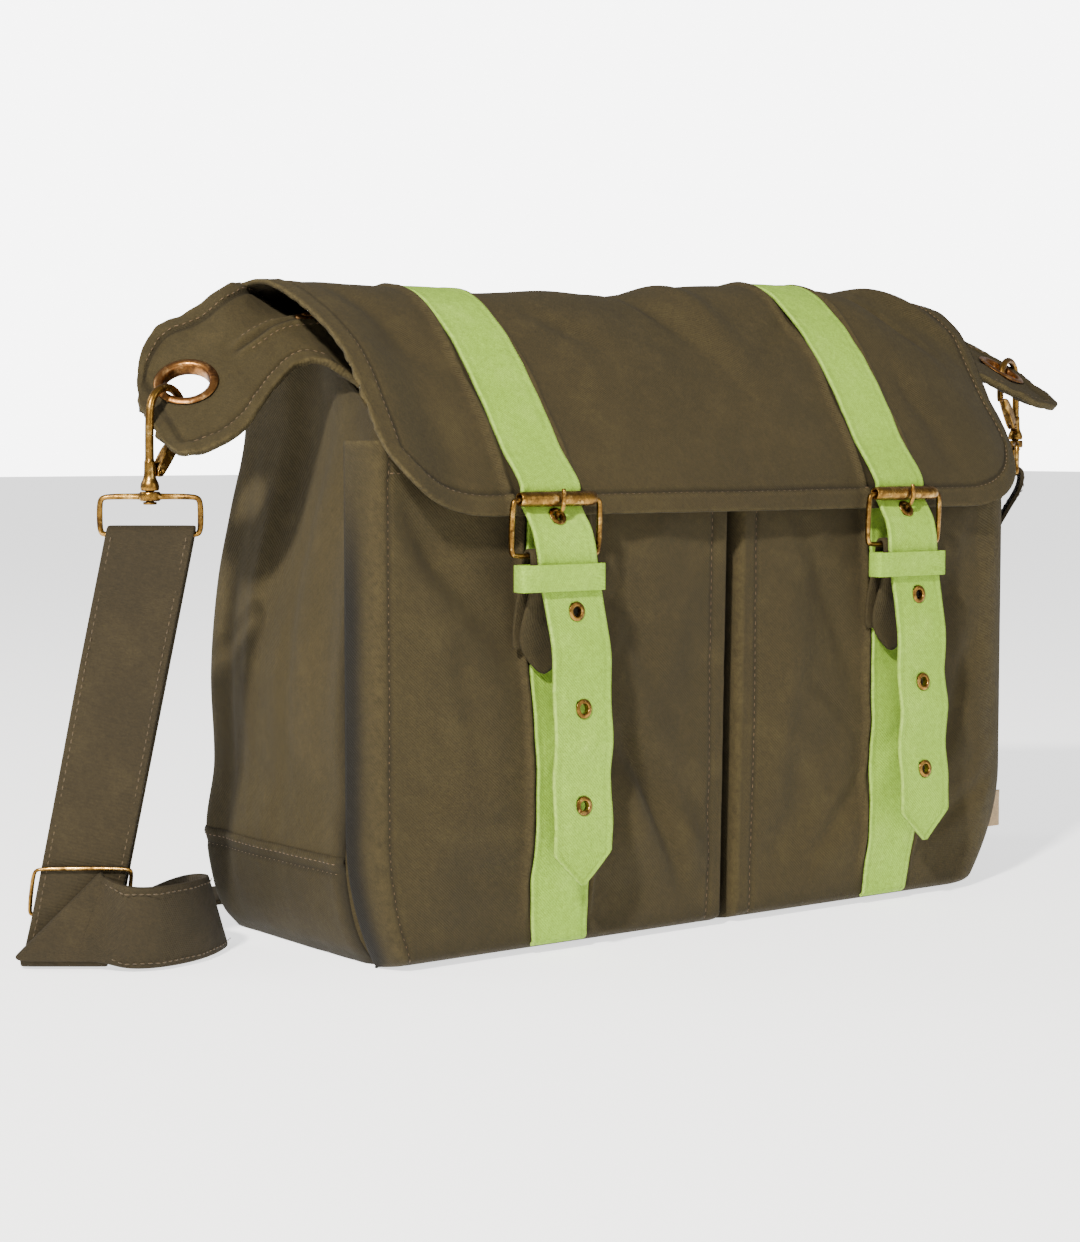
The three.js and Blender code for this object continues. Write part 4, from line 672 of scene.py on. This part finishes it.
for name, mapping, wide, high in (("front_panel", front_map, 60, 40), ("back_panel", back_map, 130, 90)):
    piece = cloth_grid(name + "_fine", mapping, wide, high, cloth_wall, canvas)
    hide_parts(name)
    place_by(piece)
for side in facing:
    piece = cloth_grid("side_panel_%s_fine" % side, side_map(side), 70, 100, cloth_wall, canvas)
    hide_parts("side_panel_" + side)
    place_by(piece)
    piece = cloth_grid("side_band_%s_fine" % side, band_map(side), 100, 40, cloth_wall, canvas)
    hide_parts("side_band_" + side)
    place_by(piece)
    rows = [(band_map(side), lambda t, v=v: (0.02 + 0.96 * t, v)) for v in (0.93, 0.84)]
    stitch_rows("side_band_%s_stitches" % side, rows, thread)


# Grommet seats
def top_frame(run, share=0.0):
    """A place of the top sheet and the way that its outer face looks there."""
    place = np.array(top_point(run, share))
    along = np.array(top_point(run + 0.5, share)) - np.array(top_point(run - 0.5, share))
    across = np.array(top_point(run, share + 0.02)) - np.array(top_point(run, share - 0.02))
    normal = np.cross(along, across)
    return place, normal / np.linalg.norm(normal)


grommet_run = {"left": -ear_root - 75, "right": ear_root + 86}
grommet_at = {side: top_frame(run)[0] for side, run in grommet_run.items()}


def back_rise(run):
    """The back edge of the top sheet climbs to the underside of the flap near either ear."""
    high = 9 + 4 * smooth((abs(run) - 180) / 15)
    return high * smooth((abs(run) - 110) / 40) * smooth((250 - abs(run)) / 50)


def top_map(u, v):
    run = sheet_start + u * sheet_long
    share = v * 2 - 1
    side = "left" if run < 0 else "right"
    x, y, z = top_point(run, share)
    part = (abs(run) - ear_root) / ear_length[side]
    half = top_half(run, 1 if share < 0 else 2)
    rim = min(half * (1 - abs(share)), ear_length[side] * max(1 - part, 0) + 0.01)
    worn, dark = 0.0, 0.0
    off = abs(share) * half
    if part > -0.12:
        fade = smooth((part + 0.12) / 0.12)
        lift = 1.5 * (1 - smooth((rim - 6) / 1.4)) * (1 + 0.6 * ripple(x, y, z, 6, 4))
        lift -= 0.8 * math.exp(-((rim - 7.4) / 1.0) ** 2)
        lift += (0.9 * ripple(x, y, z, 16, 2) + 0.5 * ripple(x, y, z, 8, 6)) * smooth(rim / 8)
        seam = smooth((0.5 - part) / 0.08)
        roll = 1.1 * math.exp(-((off - 3.4) / 1.8) ** 2)
        lift += seam * (roll - math.exp(-((off - 0.4) / 0.9) ** 2))
        normal = top_frame(run, min(max(share, -0.97), 0.97))[1]
        x, y, z = np.array((x, y, z)) + normal * lift * fade
        worn = 0.5 * (1 - smooth(rim / 1.6)) + 0.3 * seam * math.exp(-((off - 3.4) / 1.2) ** 2)
        worn *= fade
        # Painted shade: darker in the stitched groove inside the free edge and along the middle seam.
        dark = 0.5 * math.exp(-((rim - 7.4) / 0.9) ** 2) + 0.5 * seam * math.exp(-(off / 0.8) ** 2)
        dark *= fade
    z += back_rise(run) * smooth((share - 0.05) / 0.95)
    return (x, y, z), worn, dark


def zip_slot(u, v):
    run = sheet_start + u * sheet_long
    return abs(run) < zip_reach and abs(v * 2 - 1) * top_half(run, 1) < zip_half


grommet_holes = [(grommet_at[side], grommet_hole) for side in facing]
top_cuts = {"holes": grommet_holes, "slot": zip_slot}
top = cloth_grid("top_panel_fine", top_map, 360, 70, 3.4, canvas, **top_cuts)
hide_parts("top_panel")
place_by(top)


def ear_row(side, inset, turn):
    """A stitch row round one ear, or with no turn along the seam from the grommet to the zip."""
    long = ear_length[side]

    def path(t):
        part = 0.08 + 0.8 * t if turn else -0.1 + 0.5 * t
        run = facing[side] * (ear_root + part * long)
        half = top_half(run, 1 if turn <= 0 else 2)
        share = turn * (1 - inset / half) if turn else inset / half
        return (run - sheet_start) / sheet_long, (share + 1) / 2
    return top_map, path


ear_insets = ((6.2, -1), (6.2, 1), (5.2, 0), (-5.2, 0))
rows = [ear_row(side, inset, turn) for side in facing for inset, turn in ear_insets]
stitch_rows("ear_stitches", rows, thread)


# Pockets, from their left to their right end
pocket_form = {"left": (-203.4, -2), "right": (2, 201)}
pocket_folds = {
    "left": (
        (-0.42, 0.86, -58, 0.2, 0.05, -3), (-0.1, 0.3, -52, 0.24, 0.04, -6),
        (-0.02, 0.16, -60, 0.16, 0.05, 4), (-0.27, 0.3, 0, 0.2, 0.26, 6),
        (-0.4, 0.75, -62, 0.16, 0.025, -3.5), (-0.44, 0.45, -80, 0.2, 0.03, 1.5),
        (-0.116, 0.255, -74, 0.2, 0.014, -4.5), (-0.152, 0.27, -74, 0.18, 0.026, 3.2),
        (-0.075, 0.24, -76, 0.2, 0.02, 2.6), (-0.44, 0.84, -68, 0.12, 0.016, -2.6),
        (-0.15, 0.62, -78, 0.16, 0.02, -2.2), (-0.4, 0.5, -84, 0.12, 0.014, 1.4),
        (-0.33, 0.16, -20, 0.1, 0.03, -2.4), (-0.2, 0.7, -40, 0.06, 0.016, -1.6),
    ),
    "right": (
        (0.25, 0.35, 0, 0.2, 0.3, 5), (0.38, 0.72, 62, 0.2, 0.045, -2.5),
        (0.12, 0.2, 58, 0.2, 0.05, -3), (0.14, 0.7, -76, 0.2, 0.018, -2.2),
        (0.36, 0.4, 76, 0.24, 0.02, -3.0), (0.08, 0.45, 84, 0.3, 0.03, 1.8),
        (0.17, 0.2, 66, 0.16, 0.016, -2.6), (0.38, 0.2, 50, 0.12, 0.02, -2.4),
        (0.15, 0.45, -60, 0.08, 0.014, -1.6),
    ),
}

# Where the flat face starts and ends, and how wide it rounds off at either end
pocket_face = {"left": (-198.0, -6.5, 9.5, 4.5), "right": (6.5, 169.0, 4.5, 32.0)}
pocket_foot = 7

# Shares of the grid that lie on the rounded ends and under the foot
end_share = 0.12
foot_share = 0.06
face_share = 1 + 2 * end_share


def pocket_swell(side, x, z):
    start, end = pocket_form[side]
    edge = min(x - start, end - x) / pocket_depth
    calm = smooth(edge * 0.6) * smooth(z / pocket_height * 5) * smooth((pocket_height - z) / 40)
    swell = creases(pocket_folds[side], x / (2 * half_width), z / pocket_height)
    swell += 2.8 * ripple(x, 0, z * 0.6, 34, 1.7)
    return (swell + ripple(x, 0, z, 15, 7.7)) * calm


def pocket_point(side, u, v, extra=0.0):
    """A place of the pocket: u and v run from 0 to 1 on its flat face, and past it round the ends."""
    start, end = pocket_form[side]
    left, right, round_in, round_out = pocket_face[side]
    first = min(u, 0)
    last = max(u - 1, 0)
    turn_in = (1 + first) * math.pi / 2
    turn_out = last * math.pi / 2
    open_x = math.sin(turn_in) if first < 0 else math.cos(turn_out)
    x = left + (right - left) * min(max(u, 0), 1)
    x += round_out * math.sin(turn_out) - (round_in * math.cos(turn_in) if first < 0 else 0)
    turn_foot = (1 + min(v, 0)) * math.pi / 2
    open_z = math.sin(turn_foot)
    if v > 0:
        z = pocket_foot + v * (pocket_height - pocket_foot)
    else:
        z = 0.3 + 6.7 * (1 - math.cos(turn_foot)) * 0.96
    inner, outer = (end, start) if side == "left" else (start, end)
    low = max(1 - z / 62, 0)
    tuck = (14 if side == "left" else 28) * low * low * ((x - inner) / (outer - inner)) ** 3
    corner = smooth((abs(x) - 160) / 40) if side == "left" else 0
    right_end = (1 - pocket_lean) * smooth((x - 145) / 40)
    lean = 1 - (pocket_lean + right_end) * (1 - corner) * smooth((z - pocket_height + 33) / 40)
    proud = lean * (pocket_depth + pocket_swell(side, x, z) + extra) * open_x * open_z
    y = -half_depth - pocket_stand - 2 * (1 - open_x) * (1 - open_z) - proud
    return x - facing[side] * tuck, y, max(z, 0.1)


def strip_ridge(x, centre, z, seed):
    """The rolled cloth edge beside a strap."""
    off = abs(x - centre) - strap_wide / 2 - 0.6
    wobble = 0.35 * ripple(x * 0.2, 0, z, 9, seed)
    crest = 2.3 * math.exp(-(((off - 2.1 + wobble) / 1.7) ** 2))
    return crest if off > -1.5 else 0.0


def pocket_map(side):
    left, right, round_left, round_right = pocket_face[side]

    def mapping(u, v):
        a = u * face_share - end_share
        if a < 0:
            a = a / end_share
        elif a > 1:
            a = 1 + (a - 1) / end_share
        b = v * (1 + foot_share) - foot_share
        b = b / foot_share if b < 0 else b
        z = pocket_foot + max(b, 0) * (pocket_height - pocket_foot)
        x = left + (right - left) * min(max(a, 0), 1)
        inner_gap, outer_gap = right + round_right - x, x - left + round_left
        if side == "right":
            inner_gap, outer_gap = outer_gap, inner_gap
        ridge = strip_ridge(x, tail_place[side], z, 2) * smooth(b * 8)
        seam = 0.0
        if side == "left":
            seam = -1.1 * math.exp(-((outer_gap - 10.5) / 1.4) ** 2)
            seam += 1.3 * math.exp(-((outer_gap - 5) / 3.2) ** 2)
            seam += 0.5 * ripple(x * 0.4, 0, z, 8, 2.2) * math.exp(-((outer_gap - 8) / 7) ** 2)
        seam += -0.9 * math.exp(-((inner_gap - 12) / 1.3) ** 2)
        seam += 0.45 * ripple(x * 0.4, 0, z, 9, 4.2) * math.exp(-((inner_gap - 12) / 8) ** 2)
        hem = 0.8 * smooth((z - pocket_height + 16) / 2) if b > 0 else 0
        point = pocket_point(side, a, b, ridge + seam + hem)
        lean = 4.5 * (z / pocket_height - 0.45) * smooth(1 - inner_gap / 70)
        point = (point[0] + lean, point[1], point[2])
        worn = 0.35 * ridge / 2.3 + 0.5 * smooth((z - pocket_height + 2.5) / 2)
        if a <= 0:
            worn += 0.35 * math.exp(-((a + 0.25) / 0.25) ** 2)
        elif a >= 1:
            worn += 0.35 * math.exp(-((a - 1.25) / 0.25) ** 2)
        # Painted shade: darker in the seam grooves, round the side return, towards the floor and on the left
        # pocket's far return.
        dark = 0.45 * math.exp(-((inner_gap - 12) / 1.0) ** 2)
        if side == "left":
            dark += 0.45 * math.exp(-((outer_gap - 10.5) / 1.0) ** 2)
        deep = 0.85 * smooth((-0.4 - a) / 0.45) * smooth((pocket_height - z) / 70) if a < 0 else 0.0
        dark = max(dark, deep, 0.35 * smooth(1 - z / 16))
        dark = max(dark, 0.5 * smooth((a - 1.3) / 0.5) if side == "left" else 0.0)
        return point, worn, dark
    return mapping


# Flap
flap_front = half_depth + pocket_depth + 10.4
flap_start = (half_depth - 2, back_height + cloth_wall + 0.7)
# The flap from its back seam: shares of its reach to the front and of its fall
flap_rows = ((0.158, 0.954), (0.303, 0.991), (0.398, 0.995), (0.492, 0.954), (0.587, 0.861),
    (0.682, 0.731), (0.758, 0.611), (0.821, 0.481), (0.884, 0.352), (0.941, 0.204),
    (0.985, 0.074), (1.0, 0.0))
flap_route = [flap_start]
for ahead, high in flap_rows:
    y = flap_start[0] - ahead * (flap_start[0] + flap_front)
    flap_route.append((y, flap_edge + high * (flap_crest - flap_edge)))
flap_line = Line(flap_route)
flap_long = flap_line.length
wrap_from = 160
crest_lift = ((-1.0, -0.008), (-0.78, -0.006), (-0.48, -0.014), (-0.2, 0.002), (0.02, 0.0),
    (0.25, 0.018), (0.5, 0.016), (0.78, 0.02), (1.0, -0.004))
flap_folds = ((0.8, 0.42, 58, 0.22, 0.07, -5), (0.62, 0.5, 66, 0.2, 0.08, 3),
    (-0.12, 0.3, 60, 0.25, 0.09, -3), (-0.72, 0.62, 28, 0.2, 0.06, -2),
    (0.15, 0.72, -30, 0.25, 0.08, 2.5))
flap_fine = ((0.02, 0.42, 72, 0.16, 0.035, -3.2), (0.12, 0.38, 80, 0.2, 0.04, 2.6),
    (0.72, 0.4, 62, 0.2, 0.03, -3.4), (0.86, 0.36, 58, 0.16, 0.03, 2.6),
    (-0.3, 0.5, 50, 0.1, 0.03, -1.6), (-0.82, 0.45, 66, 0.16, 0.03, -1.6),
    (0.3, 0.55, -40, 0.2, 0.03, -1.6), (0.66, 0.75, 75, 0.14, 0.03, -1.8))


def flap_reach(x):
    """How much of the flap's length is left at x, less at its rounded corners."""
    edge = flap_left + x if x < 0 else flap_right - x
    if edge >= flap_corner_wide:
        return 1.0
    turn = 1 - edge / flap_corner_wide
    return 1 - flap_corner_high / flap_long * (1 - math.sqrt(max(1 - turn * turn, 0)))


def flap_point(x, share, extra=0.0, fine=True):
    at = min(share, 1.0)
    py, pz = flap_line.at(at)
    full = flap_left if x < 0 else flap_right
    span = flap_back + (full - flap_back) * smooth(at / 0.2)
    across = x / full
    free = smooth(at / 0.12)
    hang = (pz - flap_edge) / (flap_crest - flap_edge)
    lift = flap_crest * read(crest_lift, across) * free * hang
    slope = flap_line.along(at)
    calm = free * smooth((1 - at) * 6)
    swell = creases(flap_folds, across, at) * calm + extra
    if fine:
        small = 1.4 * creases(flap_fine, across, at)
        swell += (small + 1.7 * ripple(x, 0, at * flap_long, 38, 6.2)) * calm
    wrap = 0
    if x > wrap_from:
        wrap = 14 * ((x - wrap_from) / (flap_right - wrap_from)) ** 2 * smooth((at - 0.35) / 0.4)
    push = 16 * smooth((-wrap_from - x) / 40) * smooth((at - 0.3) / 0.3) * smooth((1.15 - at) / 0.3)
    return x * span / full, py + slope[1] * swell + wrap - push, pz + lift - slope[0] * swell


def flap_rim(x, share):
    """Distance in millimetres to the nearest free edge."""
    side_gap = flap_left + x if x < 0 else flap_right - x
    slope = (flap_reach(x + 1) - flap_reach(x - 1)) / 2 * flap_long if side_gap > 1.2 else 30
    low_gap = (flap_reach(x) - share) * flap_long / math.sqrt(1 + slope * slope)
    return max(min(side_gap, low_gap), 0)


def flap_map(u, v):
    x = flap_right - u * (flap_left + flap_right)
    share = v * flap_reach(x)
    rim = flap_rim(x, share)
    z = share * flap_long
    hem = 0
    if share > 0.15:
        hem = 0.9 * (1 - smooth((rim - 8.5) / 1.2)) * (1 + 0.35 * ripple(x, 0, z, 6, 5))
    groove = -0.7 * math.exp(-((rim - 10.4) / 0.9) ** 2) if share > 0.12 else 0
    ridge = max(strip_ridge(x, flap_place[s], z, 3) for s in facing) * smooth(share * 12)
    point = flap_point(x, share, hem + groove + ridge)
    worn = 0.5 * (1 - smooth(rim / 1.6)) * smooth(share * 5) + 0.35 * ridge / 2.3
    worn += 0.25 * math.exp(-((rim - 8.0) / 0.9) ** 2)
    # Painted shade: darker in the groove inside the hem.
    dark = 0.55 * math.exp(-((rim - 10.4) / 0.9) ** 2) * smooth(share * 5)
    return point, worn, dark


def pocket_seam(side, gap, inner, low=0.04, high=0.985):
    """A stitch row up the pocket at gap millimetres from its inner or outer edge."""
    left, right, round_left, round_right = pocket_face[side]
    x = right + round_right - gap if (side == "left") == inner else left - round_left + gap

    def path(t):
        return (end_share + (x - left) / (right - left)) / face_share, low + t * (high - low)
    return pocket_map(side), path


def strip_map(side):
    """The lime strip sewn on the pocket, a little proud of the pocket's own face."""
    left, right = pocket_face[side][:2]

    def mapping(u, v):
        off = (u * 2 - 1) * strap_wide / 2
        x = tail_place[side] + off
        gap = strap_wide / 2 - abs(off)
        b = -0.3 + v * 1.285
        lift = 1.7 + 0.25 * (1 - smooth(gap / 2)) - 0.3 * math.exp(-((gap - 3) / 0.5) ** 2)
        point = pocket_point(side, (x - left) / (right - left), b, lift)
        # The third value is painted shade, darker along the stitch grooves.
        return point, 0.5 * (1 - smooth(gap / 1.2)), 0.25 * math.exp(-((gap - 3.0) / 0.45) ** 2)
    return mapping


def pocket_hem(side, drop):
    """A stitch row along the pocket's mouth, drop millimetres below it."""
    def path(t):
        return 0.1 + 0.8 * t, 1 - drop / pocket_height / (1 + foot_share)
    return pocket_map(side), path


for side in facing:
    piece = cloth_grid("pocket_%s_fine" % side, pocket_map(side), 210, 150, 2.0, canvas)
    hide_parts("pocket_" + side)
    place_by(piece)
    rows = [pocket_seam(side, 12, True), pocket_hem(side, 3.5), pocket_hem(side, 14.5)]
    if side == "left":
        rows.append(pocket_seam(side, 10.5, False))
    stitch_rows("pocket_%s_stitches" % side, rows, thread)
    strip = cloth_grid("pocket_strip_%s_fine" % side, strip_map(side), 24, 130, 1.4, lime)
    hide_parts("pocket_strip_" + side)
    place_by(strip)
    rows = [(strip_map(side), lambda t, u=u: (u, 0.02 + 0.96 * t)) for u in (0.09, 0.91)]
    stitch_rows("pocket_strip_%s_stitches" % side, rows, lime_thread, *lime_stitches)


def flap_uv(x, share):
    return (flap_right - x) / (flap_left + flap_right), share / flap_reach(x)


def flap_hem(inset):
    """A stitch row round the flap, inset from its free edge."""
    def path(t):
        x = -flap_left + inset + t * (flap_left + flap_right - 2 * inset)
        reach = flap_reach(x)
        slope = (flap_reach(x + 1) - flap_reach(x - 1)) / 2 * flap_long
        return flap_uv(x, reach - inset * math.sqrt(1 + slope * slope) / flap_long)
    return flap_map, path


def flap_side(x, inset):
    """A stitch row up one side of the flap."""
    end = flap_reach(x) - 0.5 * inset / flap_long - 0.06

    def path(t):
        return flap_uv(x, 0.1 + t * (end - 0.1))
    return flap_map, path


flap = cloth_grid("flap_fine", flap_map, 250, 170, cloth_wall, canvas)
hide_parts("flap")
place_by(flap)
flap_inset = 9.3
rows = [flap_hem(flap_inset)]
for x in (-flap_left + flap_inset, flap_right - flap_inset):
    rows.append(flap_side(x, flap_inset))
stitch_rows("flap_stitches", rows, thread)


# Lime straps
def ribbon(name, middles, halves, wide, high, wall, material, waves=0.0, holes=()):
    """A strap that runs through its middles, each with its own half width, level across."""
    line = Line(middles, 12)
    marks = [np.argmin(np.linalg.norm(line.points - np.array(m), axis=1)) for m in middles]
    runs = [line.run[k] / line.length for k in marks]

    def mapping(u, v):
        middle = line.at(v)
        half = np.interp(v, runs, halves)
        tangent = line.along(v)
        side_dir = np.array((-1.0, 0.0, 0.0))
        face = np.cross(side_dir, tangent)
        face /= np.linalg.norm(face)
        off = (u * 2 - 1) * half
        gap = half - abs(off)
        puff = waves * ripple(off * 0.4, 0, v * line.length, 13, 9.3) + 0.25 * (1 - smooth(gap / 2.2))
        stitch = -0.28 * math.exp(-((gap - 3.0) / 0.5) ** 2)
        point = middle + side_dir * off + face * (wall / 2 + puff + stitch)
        # The third value is painted shade, darker along the stitch grooves.
        return point, 0.5 * (1 - smooth(gap / 1.2)), 0.25 * math.exp(-((gap - 3.0) / 0.45) ** 2)

    edge = (1 - 3.0 / max(halves)) / 2
    rows = [(mapping, lambda t, s=s: (0.5 + s * edge, 0.005 + t * 0.94)) for s in (-1, 1)]
    stitch_rows(name.replace("_fine", "_stitches"), rows, lime_thread, *lime_stitches)
    return cloth_grid(name, mapping, wide, high, wall, material, holes=holes)


roller_y = -(flap_front + layer_gap + strap_wall + 0.9 + roller_radius)
bar_y = roller_y + 1.2
over_bar = bar_y - fold_radius - chape_half - 0.35 - strap_wall / 2
eyelet_y = (roller_y + roller_radius + 0.5 + over_bar) / 2 + 0.6

# How the hanging tails wave: share of their fall and how far they stand off
tail_wave = ((0.0, 0.0), (0.1, 0.3), (0.2, -0.4), (0.32, -1.2), (0.46, 0.4), (0.6, -1.4),
    (0.74, 0.6), (0.88, -1.0), (1.0, -0.6))
flap_shares = (0.06, 0.15, 0.25, 0.36, 0.47, 0.57, 0.66, 0.75, 0.84)


def strap_shift(side, height):
    """How far a strap stands to one side of its tail, near the roller and over the flap."""
    return strap_lead[side] * (1 - smooth((roller_z + 7 - height) / 94))


def node_middle(name):
    """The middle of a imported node's box, in millimetres."""
    corners = (Vector(corner) for corner in nodes[name].bound_box)
    return sum(corners, Vector()) / 8 * 1000


for side in facing:
    middles = []
    halves = []
    for share in flap_shares:
        x = flap_place[side]
        p = np.array(flap_point(x, share, fine=False))
        t = flap_line.along(share)
        middles.append(p + np.array([0, t[1], -t[0]]) * 1.9)
        halves.append(strap_wide / 2)
    behind = roller_y + roller_radius + 0.7 + strap_wall / 2
    route = [
        (behind - 0.1, roller_z + 7),
        (behind, roller_z - 1),
        (eyelet_y + 2.9, eyelet_top + 4.6),
        (eyelet_y, eyelet_top),
        (eyelet_y - 2.9, eyelet_top - 5.2),
        (over_bar, bar_z + 4),
    ]
    tail_start = bar_z - 3
    for drop, stand in tail_wave:
        route.append((over_bar + stand, tail_start - drop * (tail_start - tail_tip - tail_point)))
    route.append((over_bar, tail_tip + 0.5))
    last = len(route) - 1
    for k, (y, z) in enumerate(route):
        x = tail_place[side] + strap_shift(side, z) + tail_swing[side] * max((k - 6) / (last - 6), 0)
        middles.append(np.array([x, y, z]))
        halves.append(1.0 if k == last else strap_wide / 2)
    holes = [(node_middle("eyelet_%s_%d" % (side, k + 1)), eyelet_hole) for k in range(4)]
    strap = ribbon("strap_%s_fine" % side, middles, halves, 28, 300, strap_wall, lime, 0.5, holes)
    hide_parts("strap_" + side)
    place_by(strap)


def webbing_stitches(name, node, wide, shares, material):
    """Stitch rows on both faces of a flat strap, set in from its edges, face by face."""
    bm = joined_copy(node)
    out = bmesh.new()
    cross = [e for e in bm.edges if abs(e.calc_length() * 1000 - wide) < 1.2]
    ends = {v: e for e in cross for v in e.verts}
    for one in cross:
        a, b = one.verts
        for side_edge in a.link_edges:
            c = side_edge.other_vert(a)
            two = ends.get(c)
            if two is None or two is one or two.index < one.index:
                continue
            if side_edge.calc_length() < webbing_step * MM:
                continue
            d = two.other_vert(c)
            if not any(e.other_vert(b) is d for e in b.link_edges):
                continue
            up = sum((f.normal * f.calc_area() for f in one.link_faces), Vector()).normalized()
            for share in shares:
                start = a.co.lerp(b.co, share)
                ahead = c.co.lerp(d.co, share) - start
                number = max(int(ahead.length * 1000 / webbing_step + 0.5), 1)
                direction = ahead.normalized()
                flat = (up - up.dot(direction) * direction).normalized()
                turn = Matrix((direction, flat.cross(direction), flat)).transposed().to_4x4()
                size = Matrix.Diagonal((*webbing_stitch, 1))
                for k in range(number):
                    middle = start + ahead * ((k + 0.5) / number)
                    spot = Matrix.Translation(middle - flat * 0.0001)
                    whole = spot @ turn @ Matrix.Scale(MM, 4) @ size
                    bmesh.ops.create_icosphere(out, subdivisions=1, radius=1, matrix=whole)
    bm.free()
    return place_by(finish_mesh(name, out, material))


# the strap's stitches use thread darkened as painted shade
webbing_stitches("shoulder_strap_stitches", "shoulder_strap", 38, (0.07, 0.93), shaded_strap_thread)

# Side tab
tab_root = (205.5, -50.4, 23.5)
tab_size = (19, 19.5)


def tab_map(u, v):
    x, y, z = tab_root
    wide, high = tab_size
    curl = 1.2 * math.sin(u * 2.2) + 0.5 * ripple(u * 9, 0, v * 9, 5, 3)
    worn = 0.4 * smooth((u - 0.9) * 10)
    # The third value is painted shade, darker near the root where the tab meets the side.
    return (x + wide * u, y - curl, z + high * v), worn, 0.35 * smooth(1 - u * 3)


label = cloth_grid("side_label_fine", tab_map, 20, 20, 0.9, tab)
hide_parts("side_label")
place_by(label)

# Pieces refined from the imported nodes
brass_pieces = ("buckle_", "eyelet_", "snap_hook", "trigger_", "bail_", "strap_slider")
for name in nodes:
    material = None
    options = {}
    if name.startswith(brass_pieces):
        material = brass
        options = {"levels": 2, "sharp": 55, "crease": 0.35}
    elif name.startswith(("grommet_", "zip_chain", "zip_slider")):
        material = copper
        options = {"levels": 2, "sharp": 60, "crease": 0.3}
    elif name.startswith("keeper_"):
        material = lime
        options = {"levels": 3, "sharp": 60, "crease": 0.75}
    elif name.startswith("chape_"):
        material = canvas
        options = {"levels": 2, "sharp": 60, "crease": 0.9}
    elif name == "shoulder_strap":
        # the shoulder strap's canvas is darkened as painted shade
        material = shaded_webbing
        options = {"levels": 3, "sharp": 60, "crease": 0.85}
    elif name == "zip_tape":
        material = tape
        options = {"levels": 1, "sharp": 60, "crease": 0.9}
    elif name == "base_panel":
        material = canvas
        options = {"levels": 0, "sharp": 60, "bevel": 0.6}
    if material:
        piece = fine_copy(name, material, **options)
        place_by(piece, name if name.startswith("trigger_") else "bag")

# Floor, light and camera
bpy.ops.mesh.primitive_plane_add(size=30, location=(0, 0, -0.0002))
floor = bpy.context.object
floor.name = "floor"
floor_material, _, floor_shader, _ = new_material("floor")
floor_shader.inputs["Base Color"].default_value = (0.92, 0.92, 0.92, 1)
floor_shader.inputs["Roughness"].default_value = 0.95
floor_shader.inputs["Emission Color"].default_value = (1, 1, 1, 1)
floor_shader.inputs["Emission Strength"].default_value = 1.5
floor.data.materials.append(floor_material)


def add_area(name, place, aim, size, power, colour=(1, 1, 1)):
    data = bpy.data.lights.new(name, "AREA")
    data.size = size
    data.energy = power
    data.color = colour
    lamp = bpy.data.objects.new(name, data)
    bpy.context.collection.objects.link(lamp)
    lamp.location = place
    direction = Vector(aim) - Vector(place)
    lamp.rotation_euler = direction.to_track_quat("-Z", "Y").to_euler()


add_area("key", (-1.75, -1.15, 1.6), (0, 0, 0.12), 0.16, 150, (1.0, 0.96, 0.9))
add_area("fill", (0.9, -2.4, 1.1), (0, 0, 0.15), 1.4, 16)
add_area("rim", (-1.6, 1.4, 1.5), (-0.1, 0, 0.15), 0.9, 18)

world = bpy.data.worlds.new("studio")
bpy.context.scene.world = world
world.use_nodes = True
sky = world.node_tree
backdrop = sky.nodes["Background"]
backdrop.inputs["Color"].default_value = (1, 1, 1, 1)
backdrop.inputs["Strength"].default_value = 0.42
bright = sky.nodes.new("ShaderNodeBackground")
bright.inputs["Color"].default_value = (1, 1, 1, 1)
bright.inputs["Strength"].default_value = 7.0
rays = sky.nodes.new("ShaderNodeLightPath")
choose = sky.nodes.new("ShaderNodeMixShader")
link(sky, rays.outputs["Is Camera Ray"], choose.inputs[0])
link(sky, backdrop.outputs[0], choose.inputs[1])
link(sky, bright.outputs[0], choose.inputs[2])
link(sky, choose.outputs[0], sky.nodes["World Output"].inputs["Surface"])

camera_data = bpy.data.cameras.new("camera")
camera_data.lens = 72.7
camera_data.sensor_width = 36
camera_data.clip_start = 0.01
camera = bpy.data.objects.new("camera", camera_data)
bpy.context.collection.objects.link(camera)
camera.location = (-0.7954, -0.9874, 0.232)
camera.rotation_euler = (math.radians(85.94), 0, math.radians(-37))
bpy.context.scene.camera = camera
